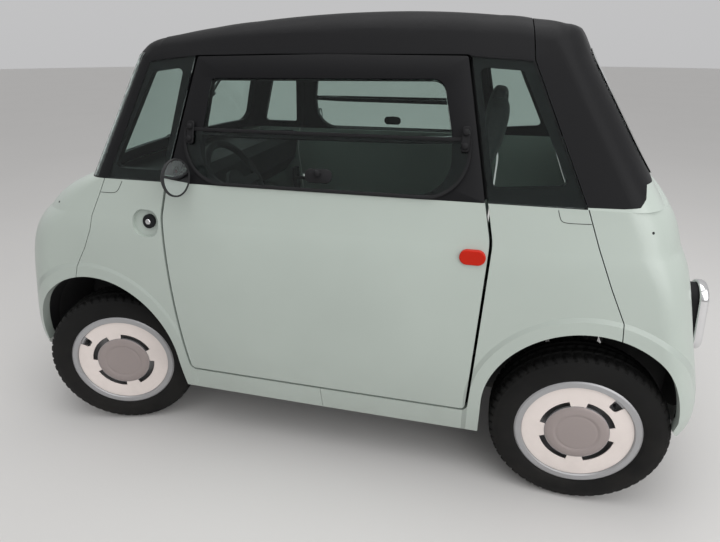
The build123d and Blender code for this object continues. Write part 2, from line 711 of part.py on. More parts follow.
# Floor: pan, bulkheads, footwell and the rear deck over the wheel arches
DECK_Z = 676.0
floor_profile = ((-534, BULKHEAD_TOP), (-534, FLOOR_BOTTOM), (536, FLOOR_BOTTOM), (536, 556), (606, DECK_Z),
                 (1120, DECK_Z), (1120, DECK_Z + 8), (601, DECK_Z + 8), (528, 560), (528, FLOOR_BOTTOM + 8),
                 (-526, FLOOR_BOTTOM + 8), (-526, BULKHEAD_TOP))
with BuildPart() as floor_pan:
    add(side_prism(floor_profile, -FLOOR_HALF_WIDTH, FLOOR_HALF_WIDTH))
    with BuildSketch(Plane.XY.offset(BULKHEAD_TOP - 8)):
        with Locations((-1100, 0)):
            Rectangle(574, 2 * FLOOR_HALF_WIDTH, align=(Align.MIN, Align.CENTER))
    extrude(amount=8)
    with BuildSketch(Plane.XY.offset(FLOOR_BOTTOM)):
        with Locations((-FOOTWELL_FRONT, 0)):
            Rectangle(FOOTWELL_FRONT - 526, 2 * FOOTWELL_HALF_WIDTH, align=(Align.MIN, Align.CENTER))
    extrude(amount=BULKHEAD_TOP - FLOOR_BOTTOM)
    with BuildSketch(Plane.XY.offset(FLOOR_BOTTOM + 8)):
        with Locations((-FOOTWELL_FRONT + 8, 0)):
            Rectangle(FOOTWELL_FRONT - 8, 2 * FOOTWELL_HALF_WIDTH - 16, align=(Align.MIN, Align.CENTER))
    extrude(amount=BULKHEAD_TOP - FLOOR_BOTTOM, mode=Mode.SUBTRACT)
    add(lower_fit, mode=Mode.INTERSECT)
save(floor_pan.part, "floor_pan")

# Heavy masses as plain blocks
with BuildPart() as battery_pack:
    with BuildSketch(Plane.XY.offset(FLOOR_BOTTOM + FLOOR_THICKNESS + SEAT_FIT)):
        with Locations((180, 0)):
            Rectangle(380, 460)
    extrude(amount=150)
save(battery_pack.part, "battery_pack")

HALF_SHAFT_RADIUS = 12.0
HALF_SHAFT_END = 507.0
with BuildPart() as drive_motor:
    with BuildSketch(Plane.XY.offset(CROSS_TOP + SEAT_FIT)):
        with Locations((-AXLE_X - 60, 0)):
            Rectangle(250, 520)
    extrude(amount=240)
    with BuildSketch(Plane.XZ.offset(-HALF_SHAFT_END)):
        with Locations((-AXLE_X, HUB_HEIGHT)):
            Circle(HALF_SHAFT_RADIUS)
    extrude(amount=2 * HALF_SHAFT_END)
save(drive_motor.part, "drive_motor")

# Suspension: wishbones between the rails and the kingpins, with a strut up to a tower
ARM_THICKNESS = 14.0
EYE_RADIUS = 22.0
TOWER_TOP = 640.0
STRUT_Y = 455.0
STRUT_RADIUS = 22.0
lower_arm_top = HUB_HEIGHT - KINGPIN_BARREL_HEIGHT / 2 - RUNNING_FIT
upper_arm_bottom = HUB_HEIGHT + KINGPIN_BARREL_HEIGHT / 2 + RUNNING_FIT
tower_inner = RAIL_Y + RAIL_WIDTH / 2 + SEAT_FIT
TOWER_HALF_LENGTH = 80.0
TOWER_WALL = 12.0


def wishbone(bottom, root_y, root_half):
    """A flat arm that narrows from its root on the tower to the kingpin eye."""
    with BuildPart() as arm:
        with BuildSketch(Plane.XY.offset(bottom)):
            with BuildLine():
                Polyline((-root_half, -root_y), (root_half, -root_y), (EYE_RADIUS - 4, -KINGPIN_Y),
                         (-EYE_RADIUS + 4, -KINGPIN_Y), close=True)
            make_face()
            with Locations((0, -KINGPIN_Y)):
                Circle(EYE_RADIUS)
        extrude(amount=ARM_THICKNESS)
    return arm.part


with BuildPart() as corner:
    add(wishbone(lower_arm_top - ARM_THICKNESS, tower_inner, TOWER_HALF_LENGTH))
    add(wishbone(upper_arm_bottom, tower_inner, TOWER_HALF_LENGTH - 20))
    with BuildSketch(Plane.XY.offset(RAIL_BOTTOM)):
        with Locations((0, -tower_inner - TOWER_WALL / 2)):
            Rectangle(2 * TOWER_HALF_LENGTH, TOWER_WALL)
    extrude(amount=TOWER_TOP - RAIL_BOTTOM)
    with BuildSketch(Plane.XY.offset(TOWER_TOP - 8)):
        with Locations((0, -tower_inner)):
            Rectangle(100, STRUT_Y + 30 - tower_inner, align=(Align.CENTER, Align.MAX))
    extrude(amount=8)
    with BuildSketch(Plane.XY.offset(upper_arm_bottom + 2)):
        with Locations((0, -STRUT_Y)):
            Circle(STRUT_RADIUS)
    extrude(amount=TOWER_TOP - 4 - upper_arm_bottom - 2)
corner_hole = HALF_SHAFT_RADIUS + 6
with BuildPart() as front_corner:
    add(corner.part)
    with BuildSketch(Plane.XZ):
        with Locations((0, HUB_HEIGHT)):
            Circle(corner_hole)
    extrude(amount=420, mode=Mode.SUBTRACT)
with BuildPart() as front_suspension:
    with Locations((-AXLE_X, 0)):
        add(front_corner.part)
    mirror(about=Plane.XZ)
save(front_suspension.part, "front_suspension")

with BuildPart() as rear_corner:
    add(corner.part)
    with BuildSketch(Plane.XY.offset(lower_arm_top - 4)):
        with Locations((0, -KINGPIN_Y)):
            Circle(KINGPIN_BARREL_RADIUS)
    extrude(amount=upper_arm_bottom - lower_arm_top + 8)
    with BuildSketch(Plane.XZ.offset(KINGPIN_Y)):
        with Locations((0, HUB_HEIGHT)):
            Circle(SPINDLE_RADIUS)
    extrude(amount=KINGPIN_INSET + SPINDLE_END)
with BuildPart() as rear_suspension:
    with Locations((AXLE_X, 0)):
        add(rear_corner.part)
    mirror(about=Plane.XZ)
save(rear_suspension.part, "rear_suspension")

# Arch liners, open where the suspension comes in
with BuildPart() as liner:
    with BuildSketch(Plane.XZ.offset(LINER_INNER_Y - LINER_WALL)):
        with Locations((0, LINER_Z)):
            Circle(LINER_RADIUS + LINER_WALL)
        with Locations((0, (LINER_Z + SILL_HEIGHT + 4) / 2)):
            Rectangle(2 * (LINER_RADIUS + LINER_WALL), LINER_Z - SILL_HEIGHT - 4)
        with Locations((0, 100)):
            Rectangle(800, 2 * (SILL_HEIGHT + 4) - 200, mode=Mode.SUBTRACT)
    extrude(amount=400)
    with BuildSketch(Plane.XZ.offset(LINER_INNER_Y)):
        with Locations((0, LINER_Z)):
            Circle(LINER_RADIUS)
        with Locations((0, LINER_Z / 2)):
            Rectangle(2 * LINER_RADIUS, LINER_Z)
    extrude(amount=400, mode=Mode.SUBTRACT)
    with BuildSketch(Plane.XZ.offset(LINER_INNER_Y - 20)):
        with Locations((0, 400)):
            Rectangle(SUSPENSION_GAP, 500)
    extrude(amount=40, mode=Mode.SUBTRACT)
with BuildPart() as arch_liners:
    with Locations((-AXLE_X, 0), (AXLE_X, 0)):
        add(liner.part)
    mirror(about=Plane.XZ)
    add(lower_fit, mode=Mode.INTERSECT)
save(arch_liners.part, "arch_liners")

# Dashboard across the cabin
with BuildPart() as dashboard:
    add(side_prism(((-990, 980), (-560, 1004), (-536, 968), (-560, 860), (-620, 780), (-700, 760),
                    (-990, 760)), -HALF_SPAN, HALF_SPAN))
    add(lower_fit, mode=Mode.INTERSECT)
save(dashboard.part, "dashboard")

# Steering wheel and column, leaning towards the driver
WHEEL_HUB = Vector(-440, -290, 925)
COLUMN_LEAN = 27.0
COLUMN_RADIUS = 22.0
COLUMN_LENGTH = 95.0
STEER_RIM_RADIUS = 172.0
STEER_RIM_TUBE = 14.0
column_dir = Vector(cos(radians(COLUMN_LEAN)), 0, sin(radians(COLUMN_LEAN)))
steer_plane = Plane(origin=WHEEL_HUB, x_dir=Vector(0, 1, 0), z_dir=column_dir)
with BuildPart() as steering_wheel_local:
    with BuildSketch(Plane.XZ):
        with Locations((STEER_RIM_RADIUS, 0)):
            Circle(STEER_RIM_TUBE)
    revolve(axis=Axis.Z)
    with BuildSketch(Plane.XY.offset(-9)):
        Rectangle(2 * STEER_RIM_RADIUS - 8, 34)
        with Locations((0, -STEER_RIM_RADIUS / 2)):
            Rectangle(34, STEER_RIM_RADIUS - 4)
        Circle(62)
    extrude(amount=18)
save(placed(steering_wheel_local.part, steer_plane), "steering_wheel")

with BuildPart() as steering_column:
    with BuildSketch(steer_plane.offset(-9 - RUNNING_FIT)):
        Circle(COLUMN_RADIUS)
    extrude(amount=-COLUMN_LENGTH * 2)
    add(dashboard.part, mode=Mode.SUBTRACT)
save(steering_column.part, "steering_column")

# Seats: one base for both, with a cushion and a leaning back each
SEAT_Y = 285.0
SEAT_WIDTH = 460.0
SEAT_TOP = 590.0
CUSHION_THICKNESS = 90.0
CUSHION_FRONT = -130.0
CUSHION_LENGTH = 462.0
SEAT_BASE = (-70.0, 425.0)
SEAT_BASE_WALL = 14.0
BACK_FOOT = 345.0
BACK_LEAN = 11.0
BACK_THICKNESS = 62.0
SHOULDER = 560.0
HEADREST_TOP = 792.0
HEADREST_WIDTH = 250.0
seat_base_foot = FLOOR_BOTTOM + FLOOR_THICKNESS
seat_base_top = SEAT_TOP - CUSHION_THICKNESS
back_foot = (BACK_THICKNESS * sin(radians(BACK_LEAN)) + SEAT_FIT) / cos(radians(BACK_LEAN))
with BuildPart() as seat_base:
    with BuildSketch(Plane.XY.offset(seat_base_foot)):
        with Locations((SEAT_BASE[0], 0)):
            Rectangle(SEAT_BASE[1] - SEAT_BASE[0], 2 * SEAT_Y + SEAT_WIDTH - 20, align=(Align.MIN, Align.CENTER))
    extrude(amount=seat_base_top - seat_base_foot)
    with BuildSketch(Plane.XY.offset(seat_base_foot)):
        with Locations((SEAT_BASE[0] + SEAT_BASE_WALL, 0)):
            Rectangle(SEAT_BASE[1] - SEAT_BASE[0] - 2 * SEAT_BASE_WALL,
                      2 * SEAT_Y + SEAT_WIDTH - 20 - 2 * SEAT_BASE_WALL, align=(Align.MIN, Align.CENTER))
    extrude(amount=seat_base_top - seat_base_foot - SEAT_BASE_WALL, mode=Mode.SUBTRACT)
save(seat_base.part, "seat_base")

for name, side in (("left", -1), ("right", 1)):
    back_plane = Plane(origin=(BACK_FOOT, side * SEAT_Y, seat_base_top), x_dir=(0, 1, 0),
                       z_dir=(cos(radians(BACK_LEAN)), 0, -sin(radians(BACK_LEAN))))
    with BuildPart() as seat:
        with BuildSketch(Plane.XY.offset(seat_base_top)) as cushion_outline:
            with Locations((CUSHION_FRONT, side * SEAT_Y)):
                Rectangle(CUSHION_LENGTH, SEAT_WIDTH, align=(Align.MIN, Align.CENTER))
            fillet(cushion_outline.vertices(), 40)
        extrude(amount=CUSHION_THICKNESS)
        with BuildSketch(back_plane) as back_outline:
            with BuildLine():
                Polyline((-SEAT_WIDTH / 2, back_foot), (SEAT_WIDTH / 2, back_foot), (SEAT_WIDTH / 2 - 10, SHOULDER),
                         (HEADREST_WIDTH / 2, SHOULDER + 60), (HEADREST_WIDTH / 2 - 5, HEADREST_TOP),
                         (5 - HEADREST_WIDTH / 2, HEADREST_TOP), (-HEADREST_WIDTH / 2, SHOULDER + 60),
                         (10 - SEAT_WIDTH / 2, SHOULDER), close=True)
            make_face()
            fillet(back_outline.vertices(), 30)
        extrude(amount=BACK_THICKNESS)
    save(seat.part, f"seat_{name}")

# Headlamps, each with a small round lamp above it, and tall tail lamps, standing on the end panels
HEADLAMP = (480.0, 672.0)
HEADLAMP_RADIUS = 82.0
HEADLAMP_FACE = 1203.0
SMALL_LAMP = (480.0, 800.0)
SMALL_LAMP_RADIUS = 30.0
SMALL_LAMP_FACE = 1150.0
TAIL_LAMP = (490.0, 670.0)
TAIL_LAMP_WIDTH = 104.0
TAIL_LAMP_HEIGHT = 222.0
TAIL_LAMP_FACE = 1204.0
LAMP_DEPTH = 150.0
LAMP_EDGE = 6.0


def lamp_pair(outline, face, direction):
    """A lamp body behind a flat face, seated on the end panel, with its mirror twin."""
    with BuildPart() as lamp:
        with BuildSketch(Plane.YZ.offset(direction * face)):
            add(outline)
        extrude(amount=-direction * LAMP_DEPTH)
        fillet(lamp.faces().sort_by(Axis.X)[0 if direction < 0 else -1].edges(), LAMP_EDGE)
        add(outer_seat, mode=Mode.SUBTRACT)
        mirror(about=Plane.XZ)
    return lamp.part


with BuildSketch() as headlamp_outline:
    with Locations(HEADLAMP):
        Circle(HEADLAMP_RADIUS)
with BuildSketch() as small_lamp_outline:
    with Locations(SMALL_LAMP):
        Circle(SMALL_LAMP_RADIUS)
with BuildSketch() as tail_lamp_outline:
    with Locations(TAIL_LAMP):
        SlotOverall(TAIL_LAMP_HEIGHT, TAIL_LAMP_WIDTH, rotation=90)
with BuildPart() as headlamps:
    add(lamp_pair(headlamp_outline.sketch, HEADLAMP_FACE, -1))
    add(lamp_pair(small_lamp_outline.sketch, SMALL_LAMP_FACE, -1))
save(headlamps.part, "headlamps")
save(lamp_pair(tail_lamp_outline.sketch, TAIL_LAMP_FACE, 1), "tail_lamps")

# Door mirrors: a round shell facing the rear, on a short arm
MIRROR_CENTRE = (-425.0, -716.0, 1052.0)
MIRROR_RADIUS = 59.0
MIRROR_TURN = 9.0
MIRROR_ARM_RADIUS = 10.0
mirror_plane = Plane(origin=MIRROR_CENTRE, x_dir=(0, 0, 1),
                     z_dir=(cos(radians(MIRROR_TURN)), -sin(radians(MIRROR_TURN)), 0))
with BuildPart() as mirror_shell:
    with BuildSketch(Plane.XZ):
        with BuildLine():
            Polyline((0, -4), (MIRROR_RADIUS - 4, -4), (MIRROR_RADIUS - 4, 0), (MIRROR_RADIUS, 0),
                     (MIRROR_RADIUS, -8))
            ThreePointArc((MIRROR_RADIUS, -8), (40, -27), (0, -34))
            Line((0, -34), (0, -4))
        make_face()
    revolve(axis=Axis.Z)
cabin_outer = cabin_form(-SEAT_FIT)
with BuildPart() as door_mirror:
    with Locations(mirror_plane.location):
        add(mirror_shell.part)
    with BuildSketch(Plane.XZ.offset(-MIRROR_CENTRE[1] - 20)):
        with Locations((MIRROR_CENTRE[0] - 22, MIRROR_CENTRE[2])):
            Circle(MIRROR_ARM_RADIUS)
    extrude(amount=-110)
    add(cabin_outer, mode=Mode.SUBTRACT)
save(door_mirror.part, "door_mirror_left")
save(mirrored(door_mirror.part), "door_mirror_right")

# Wiper lying on the windscreen
with BuildPart() as wiper:
    add(skin(cabin_block(-16), cabin_block(-7)))
    with BuildSketch(Plane.YZ) as wiper_outline:
        with Locations((-20, 1044)):
            Circle(20)
        with BuildLine():
            Polyline((-27, 1044), (-13, 1044), (268, 1212), (260, 1224), close=True)
        make_face()
        with Locations(Location((240, 1215), 62)):
            Rectangle(430, 11)
    extrude(amount=-1200, mode=Mode.INTERSECT)
with BuildPart() as wiper_foot:
    add(skin(cabin_block(-16), cabin_block(-SEAT_FIT)))
    with BuildSketch(Plane.YZ):
        with Locations((-20, 1044)):
            Circle(20)
    extrude(amount=-1200, mode=Mode.INTERSECT)
with BuildPart() as wiper_whole:
    add(wiper.part)
    add(wiper_foot.part)
save(wiper_whole.part, "wiper")
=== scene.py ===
"""Shapes and finishes for a small electric city car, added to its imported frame.

Metres, +Z up, the nose points to -X and the driver's side is -Y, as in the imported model. Every new
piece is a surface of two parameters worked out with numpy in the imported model's own frame. Its
outlines, sections and profiles are given in mm. The forms that both sides share are given once, and
a sign of -1 for the driver's side or 1 for the other one places them.
"""

import json
import math

import bmesh
import bpy
import numpy as np
from bpy.props import FloatProperty, FloatVectorProperty, IntProperty, PointerProperty
from mathutils import Matrix, Vector
from mathutils.bvhtree import BVHTree


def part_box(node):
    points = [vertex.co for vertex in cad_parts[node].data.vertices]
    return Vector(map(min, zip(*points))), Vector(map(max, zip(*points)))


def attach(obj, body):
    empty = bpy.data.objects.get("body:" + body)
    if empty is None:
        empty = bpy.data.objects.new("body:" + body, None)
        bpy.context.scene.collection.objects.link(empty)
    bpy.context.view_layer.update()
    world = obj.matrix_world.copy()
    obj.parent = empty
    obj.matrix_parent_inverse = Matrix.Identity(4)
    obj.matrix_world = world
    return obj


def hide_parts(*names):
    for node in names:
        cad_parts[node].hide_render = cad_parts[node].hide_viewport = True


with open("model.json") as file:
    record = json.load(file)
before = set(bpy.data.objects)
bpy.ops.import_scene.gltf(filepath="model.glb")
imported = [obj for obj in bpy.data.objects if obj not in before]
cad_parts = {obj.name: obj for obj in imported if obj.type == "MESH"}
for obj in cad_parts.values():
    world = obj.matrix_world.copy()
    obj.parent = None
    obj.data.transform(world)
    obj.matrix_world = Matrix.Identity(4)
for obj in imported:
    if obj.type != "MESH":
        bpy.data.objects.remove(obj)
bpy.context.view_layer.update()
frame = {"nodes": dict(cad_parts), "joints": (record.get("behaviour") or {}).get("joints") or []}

bl_info = {
    "name": "City Car Finishes",
    "version": (1, 0, 0),
    "blender": (4, 5, 0),
    "location": "View3D > Sidebar > City Car",
    "description": "Builds the windows, tyres, seats, lamps and finishes of a small city car",
    "category": "Object",
}

MM = 0.001
UP = np.array([0.0, 0.0, 1.0])
CAR = "car_body"
SIDES = (("left", -1.0), ("right", 1.0))
WHEELS = ("front_left", "front_right", "rear_left", "rear_right")
SHARP_EDGE = math.radians(35)

# The cabin's side: half width and height at the belt and at the roof, and the radius of its bow
WALL_FOOT = (651.0, 1018.0)
WALL_TOP = (461.0, 1540.0)
SIDE_RADIUS = 85500.0
# A wheel arch in the side view: distance from the car's middle and height, and the radii in metres
# between which the raised band round it falls away
ARCH_CENTRE = (852.0, 362.0)
FLARE_EDGE = (0.338, 0.354)


# ---------------------------------------------------------------- surfaces


def unit(way):
    """A direction, or each row of an array of them, at length 1."""
    way = np.asarray(way, float)
    return way / np.linalg.norm(way, axis=-1, keepdims=True)


def turns(count):
    """Equal angles over a whole turn."""
    return np.linspace(0, 2 * np.pi, count, endpoint=False)


def smooth_path(points, count):
    """Points on a Catmull-Rom curve through the given points, at equal steps of its parameter.

    Between points b and c the curve is half of 2b + (c - a)t + (2a - 5b + 4c - d)t^2
    + (3b - a - 3c + d)t^3, where a and d are the points before and after.
    """
    p = np.asarray(points, float)
    p = np.vstack([2 * p[0] - p[1], p, 2 * p[-1] - p[-2]])
    s = np.linspace(0, len(p) - 3, count)
    i = np.minimum(s.astype(int), len(p) - 4)
    t = (s - i)[:, None]
    a, b, c, d = p[i], p[i + 1], p[i + 2], p[i + 3]
    square, cube = 2 * a - 5 * b + 4 * c - d, 3 * b - a - 3 * c + d
    return 0.5 * (2 * b + (c - a) * t + square * t**2 + cube * t**3)


def mesh_object(name, mesh, material, smooth=True):
    """An object from a mesh: doubles merged, faces turned outwards, edges over 35 degrees sharp."""
    form = bmesh.new()
    form.from_mesh(mesh)
    bmesh.ops.remove_doubles(form, verts=form.verts, dist=1e-6)
    bmesh.ops.recalc_face_normals(form, faces=form.faces)
    form.to_mesh(mesh)
    form.free()
    mesh.update()
    if smooth:
        mesh.polygons.foreach_set("use_smooth", [True] * len(mesh.polygons))
        mesh.set_sharp_from_angle(angle=SHARP_EDGE)
    mesh.materials.append(material)
    piece = bpy.data.objects.new(name, mesh)
    bpy.context.scene.collection.objects.link(piece)
    return piece


def sheet_mesh(name, grids, material, along=False, caps=False, smooth=True):
    """An object from a grid of points, rows by columns, or from a list of such grids.

    The columns always close up. The rows close up with along, and end in flat faces with caps.
    """
    points, faces = [], []
    for grid in grids if isinstance(grids, list) else [grids]:
        rows, columns = grid.shape[:2]
        index = np.arange(rows * columns).reshape(rows, columns) + len(points)
        ends = [index[0].tolist(), index[-1, ::-1].tolist()] if caps else []
        if along:
            index = np.vstack([index, index[:1]])
        index = np.hstack([index, index[:, :1]])
        quads = np.stack([index[:-1, :-1], index[1:, :-1], index[1:, 1:], index[:-1, 1:]], -1)
        faces += quads.reshape(-1, 4).tolist() + ends
        points += grid.reshape(-1, 3).tolist()
    mesh = bpy.data.meshes.new(name)
    mesh.from_pydata(points, [], faces)
    return mesh_object(name, mesh, material, smooth)


def sit(piece, body):
    """Makes a piece ride on a body."""
    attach(piece, body)
    return piece


def fitted(name, grids, look, body, slot, along=False, caps=False):
    """A piece from grids of points in one of the finishes, riding on a body."""
    return sit(sheet_mesh(name, grids, finish(look), along, caps), body)


def rounded_loop(corners, middle, columns=360, arc_steps=32, loop_steps=12000):
    """A convex outline from its corners and their radii, as points at equal angles about a middle.

    The arc at a corner touches both its sides: its centre lies on their bisector at radius over the
    sine of half the angle between them. Rays at equal angles then cut the finished outline.
    """
    corners = np.array(corners, float)
    place, radius = corners[:, :2], corners[:, 2]
    before, after = unit(np.roll(place, 1, 0) - place), unit(np.roll(place, -1, 0) - place)
    half = np.arccos(np.clip((before * after).sum(1), -1, 1)) / 2
    centre = place + unit(before + after) * (radius / np.sin(half))[:, None]
    reach = (radius / np.tan(half))[:, None]
    start, end = place + before * reach - centre, place + after * reach - centre
    first = np.arctan2(start[:, 1], start[:, 0])
    turn = (np.arctan2(end[:, 1], end[:, 0]) - first + np.pi) % (2 * np.pi) - np.pi
    angle = first[:, None] + turn[:, None] * np.linspace(0, 1, arc_steps)
    arcs = centre[:, None] + radius[:, None, None] * np.stack([np.cos(angle), np.sin(angle)], -1)
    line = np.vstack([arcs.reshape(-1, 2), arcs[0, :1]])
    so_far = np.r_[0, np.cumsum(np.linalg.norm(np.diff(line, axis=0), axis=1))]
    steps = np.linspace(0, so_far[-1], loop_steps)
    dense = np.stack([np.interp(steps, so_far, line[:, k]) for k in (0, 1)], 1) - middle
    dense_angle, dense_reach = np.arctan2(dense[:, 1], dense[:, 0]), np.linalg.norm(dense, axis=1)
    order = np.argsort(dense_angle)
    ray = np.linspace(-np.pi, np.pi, columns, endpoint=False)
    distance = np.interp(ray, dense_angle[order], dense_reach[order], period=2 * np.pi)
    return np.asarray(middle) + distance[:, None] * np.stack([np.cos(ray), np.sin(ray)], 1)


def rounded_box(middle, half, radius, columns):
    """An upright box with round corners, as points at equal angles about its middle."""
    signs = ((-1, -1), (1, -1), (1, 1), (-1, 1))
    corners = [(middle[0] + a * half[0], middle[1] + b * half[1], radius) for a, b in signs]
    return rounded_loop(corners, middle, columns)


def grown(loop, amount):
    """An outline moved out by an amount along its own normals."""
    way = unit(np.roll(loop, -1, 0) - np.roll(loop, 1, 0))
    return loop + amount * np.stack([way[:, 1], -way[:, 0]], 1)


def on_cabin(loop, depth, sign):
    """A side-view outline, x and z in mm, laid on the cabin's side at a depth under its skin.

    The skin's half width falls evenly from 651 at the belt to 461 at 1540, less the bow x^2 / 2R,
    and the depth is measured square to it. The passenger's side is the same turned half round.
    """
    x, z = loop[:, 0], loop[:, 1]
    lean = math.atan2(WALL_TOP[0] - WALL_FOOT[0], WALL_TOP[1] - WALL_FOOT[1])
    half = WALL_FOOT[0] + (z - WALL_FOOT[1]) * math.tan(lean) - x**2 / (2 * SIDE_RADIUS)
    y = -half + depth * math.cos(lean)
    return np.stack([-sign * x, -sign * y, z + depth * math.sin(lean)], 1) * MM


def side_rows(loop, section, sign):
    """An outline at each step of a section: how far out of it, and how deep under the skin."""
    return [on_cabin(grown(loop, out), depth, sign) for out, depth in section]


def side_axis(x, z, depth, sign):
    """A point over the cabin's side and the direction straight out of it."""
    centre, further = (on_cabin(np.array([[x, z]]), depth - out, sign)[0] for out in (0, 1))
    return centre, unit(further - centre)


def turned_ring(axis, count, up=UP):
    """Directions round an axis: cos(a) up + sin(a) side, with up made square to the axis."""
    up = unit(up - axis * (up @ axis))
    angle = turns(count)[:, None]
    return np.cos(angle) * up + np.sin(angle) * np.cross(axis, up)


def turned_grid(profile, centre, axis, count, up=UP):
    """A surface of revolution: the profile's point at radius r and height h goes to
    centre + h axis + r (cos(a) up + sin(a) side), for angles a round the axis."""
    axis, profile = np.asarray(axis, float), np.asarray(profile, float) * MM
    ring = turned_ring(axis, count, np.asarray(up))
    return centre + profile[:, None, 1:2] * axis + profile[:, None, 0:1] * ring[None]


def tube_grid(path, radius, columns):
    """A round tube: at each point of the path a circle of the radius lies across its direction."""
    way = unit(np.gradient(path, axis=0))
    across = unit(np.cross(way, UP))
    angle = turns(columns)[None, :, None]
    ring = np.cos(angle) * across[:, None] + np.sin(angle) * np.cross(across, way)[:, None]
    return path[:, None] + radius * ring


# ---------------------------------------------------------------- finishes


class Tree:
    """A short way to lay nodes in a material or a node group."""

    def __init__(self, tree):
        self.tree = tree

    def put(self, value, socket):
        """Joins another node's output to a socket, or sets the socket to a number or a colour."""
        if isinstance(value, bpy.types.NodeSocket):
            self.tree.links.new(value, socket)
        else:
            socket.default_value = (*value, 1.0) if isinstance(value, tuple) else value

    def node(self, kind, inputs=None, **settings):
        """A new node with its settings, and with what its inputs are joined or set to."""
        node = self.tree.nodes.new(kind)
        for key, value in settings.items():
            setattr(node, key, value)
        for key, value in (inputs or {}).items():
            self.put(value, node.inputs[key])
        return node

    def place(self, kind="Object"):
        """Texture coordinates of a kind."""
        return self.node("ShaderNodeTexCoord").outputs[kind]

    def parts(self, vector):
        """The parts X, Y and Z of a vector."""
        return self.node("ShaderNodeSeparateXYZ", {0: vector}).outputs

    def math(self, operation, *values):
        """The result of an operation on one to three values."""
        return self.node("ShaderNodeMath", dict(enumerate(values)), operation=operation).outputs[0]

    def noise(self, place, scale, detail, roughness=0.5):
        """Cloudy noise from 0 to 1."""
        inputs = {"Vector": place, "Scale": scale, "Detail": detail, "Roughness": roughness}
        return self.node("ShaderNodeTexNoise", inputs).outputs["Fac"]

    def spread(self, value, low, high, out_low=0.0, out_high=1.0):
        """A value's run from low to high spread over another run, and held at its ends."""
        inputs = {"Value": value, "From Min": low, "From Max": high,
                  "To Min": out_low, "To Max": out_high}
        return self.node("ShaderNodeMapRange", inputs).outputs["Result"]

    def mix(self, factor, first, second):
        """A colour between two others."""
        inputs = {0: factor, 6: first, 7: second}
        return self.node("ShaderNodeMix", inputs, data_type="RGBA").outputs[2]

    def bump(self, height, depth, below=None):
        """The normal of a surface raised by a height map, depth in mm, over another normal."""
        node = self.node("ShaderNodeBump", {"Height": height, "Distance": depth * MM})
        if below is not None:
            self.put(below, node.inputs["Normal"])
        return node.outputs["Normal"]


def effect_group(name, inputs, outputs, lay):
    """A shader node group with named inputs and outputs, laid out once and shared by finishes."""
    if name in bpy.data.node_groups:
        return bpy.data.node_groups[name]
    group = bpy.data.node_groups.new(name, "ShaderNodeTree")
    kind = "NodeSocketFloat"
    for label, value in inputs:
        socket = group.interface.new_socket(name=label, in_out="INPUT", socket_type=kind)
        socket.default_value = value
    for label in outputs:
        group.interface.new_socket(name=label, in_out="OUTPUT", socket_type=kind)
    tree = Tree(group)
    given, result = tree.node("NodeGroupInput"), tree.node("NodeGroupOutput")
    for label, value in lay(tree, given.outputs).items():
        tree.put(value, result.inputs[label])
    return group


def lay_dust(tree, given):
    """Road dust: thick near the ground, thinning to nothing at a height, broken up by noise."""
    place = tree.place()
    low = tree.spread(tree.parts(place)["Z"], 0.0, given["Reach"], 1.0, 0.0)
    patches = tree.spread(tree.noise(place, 9.0, 6.0, 0.6), 0.35, 0.75)
    return {"Mask": tree.math("MULTIPLY", tree.math("MULTIPLY", low, patches), given["Amount"])}


def lay_grain(tree, given):
    """Moulded grain: small cells under finer noise."""
    place = tree.place()
    cells = tree.node("ShaderNodeTexVoronoi", {"Vector": place, "Scale": given["Scale"]})
    fine = tree.noise(place, tree.math("MULTIPLY", given["Scale"], 2.3), 2.0)
    return {"Height": tree.math("MULTIPLY_ADD", fine, 0.6, cells.outputs["Distance"])}


def lay_weave(tree, given):
    """Woven cloth: threads along X cross threads that run up and across. Besides their height it
    gives a mask for painted shade, low in the hollows between the threads.
    """
    inputs = {"Vector": tree.place(), "Scale": given["Scale"], "Distortion": 0.4}
    bands = [tree.node("ShaderNodeTexWave", inputs, bands_direction=way).outputs["Fac"]
             for way in "XYZ"]
    crossed = tree.math("MULTIPLY", bands[0], tree.math("ADD", bands[1], bands[2]))
    return {"Height": crossed, "Shade": tree.spread(crossed, 0.0, 1.6)}


def lay_mottle(tree, given):
    """Slow, faint unevenness of a finish, from 0 to 1."""
    return {"Mask": tree.spread(tree.noise(tree.place(), given["Scale"], 3.0), 0.3, 0.7)}


def lay_flare(tree, given):
    """The raised band round a wheel arch: 1 up to a radius from the arch's centre, 0 beyond it.

    The distance is taken in the side view from the point (Centre, max(z, Height)), so that the band
    runs straight down beside the wheel.
    """
    split = tree.parts(tree.place())
    run = tree.math("SUBTRACT", tree.math("ABSOLUTE", split["X"]), given["Centre"])
    rise = tree.math("MAXIMUM", tree.math("SUBTRACT", split["Z"], given["Height"]), 0.0)
    square = tree.math("MULTIPLY_ADD", run, run, tree.math("MULTIPLY", rise, rise))
    return {"Height": tree.spread(tree.math("SQRT", square), *FLARE_EDGE, 1.0, 0.0)}


# Each effect: its inputs with their values, its outputs and the function that lays its nodes
EFFECTS = {
    "arch_flare": ((("Centre", ARCH_CENTRE[0] * MM), ("Height", ARCH_CENTRE[1] * MM)),
                   ("Height",), lay_flare),
    "road_dust": ((("Reach", 0.6), ("Amount", 0.5)), ("Mask",), lay_dust),
    "moulded_grain": ((("Scale", 600.0),), ("Height",), lay_grain),
    "woven_cloth": ((("Scale", 300.0),), ("Height", "Shade"), lay_weave),
    "slow_mottle": ((("Scale", 3.0),), ("Mask",), lay_mottle),
}


def effect(tree, name, **values):
    """One of the shared effects, placed in a material with its own values."""
    node = tree.node("ShaderNodeGroup", node_tree=effect_group(name, *EFFECTS[name]))
    for key, value in values.items():
        node.inputs[key].default_value = value
    return node.outputs


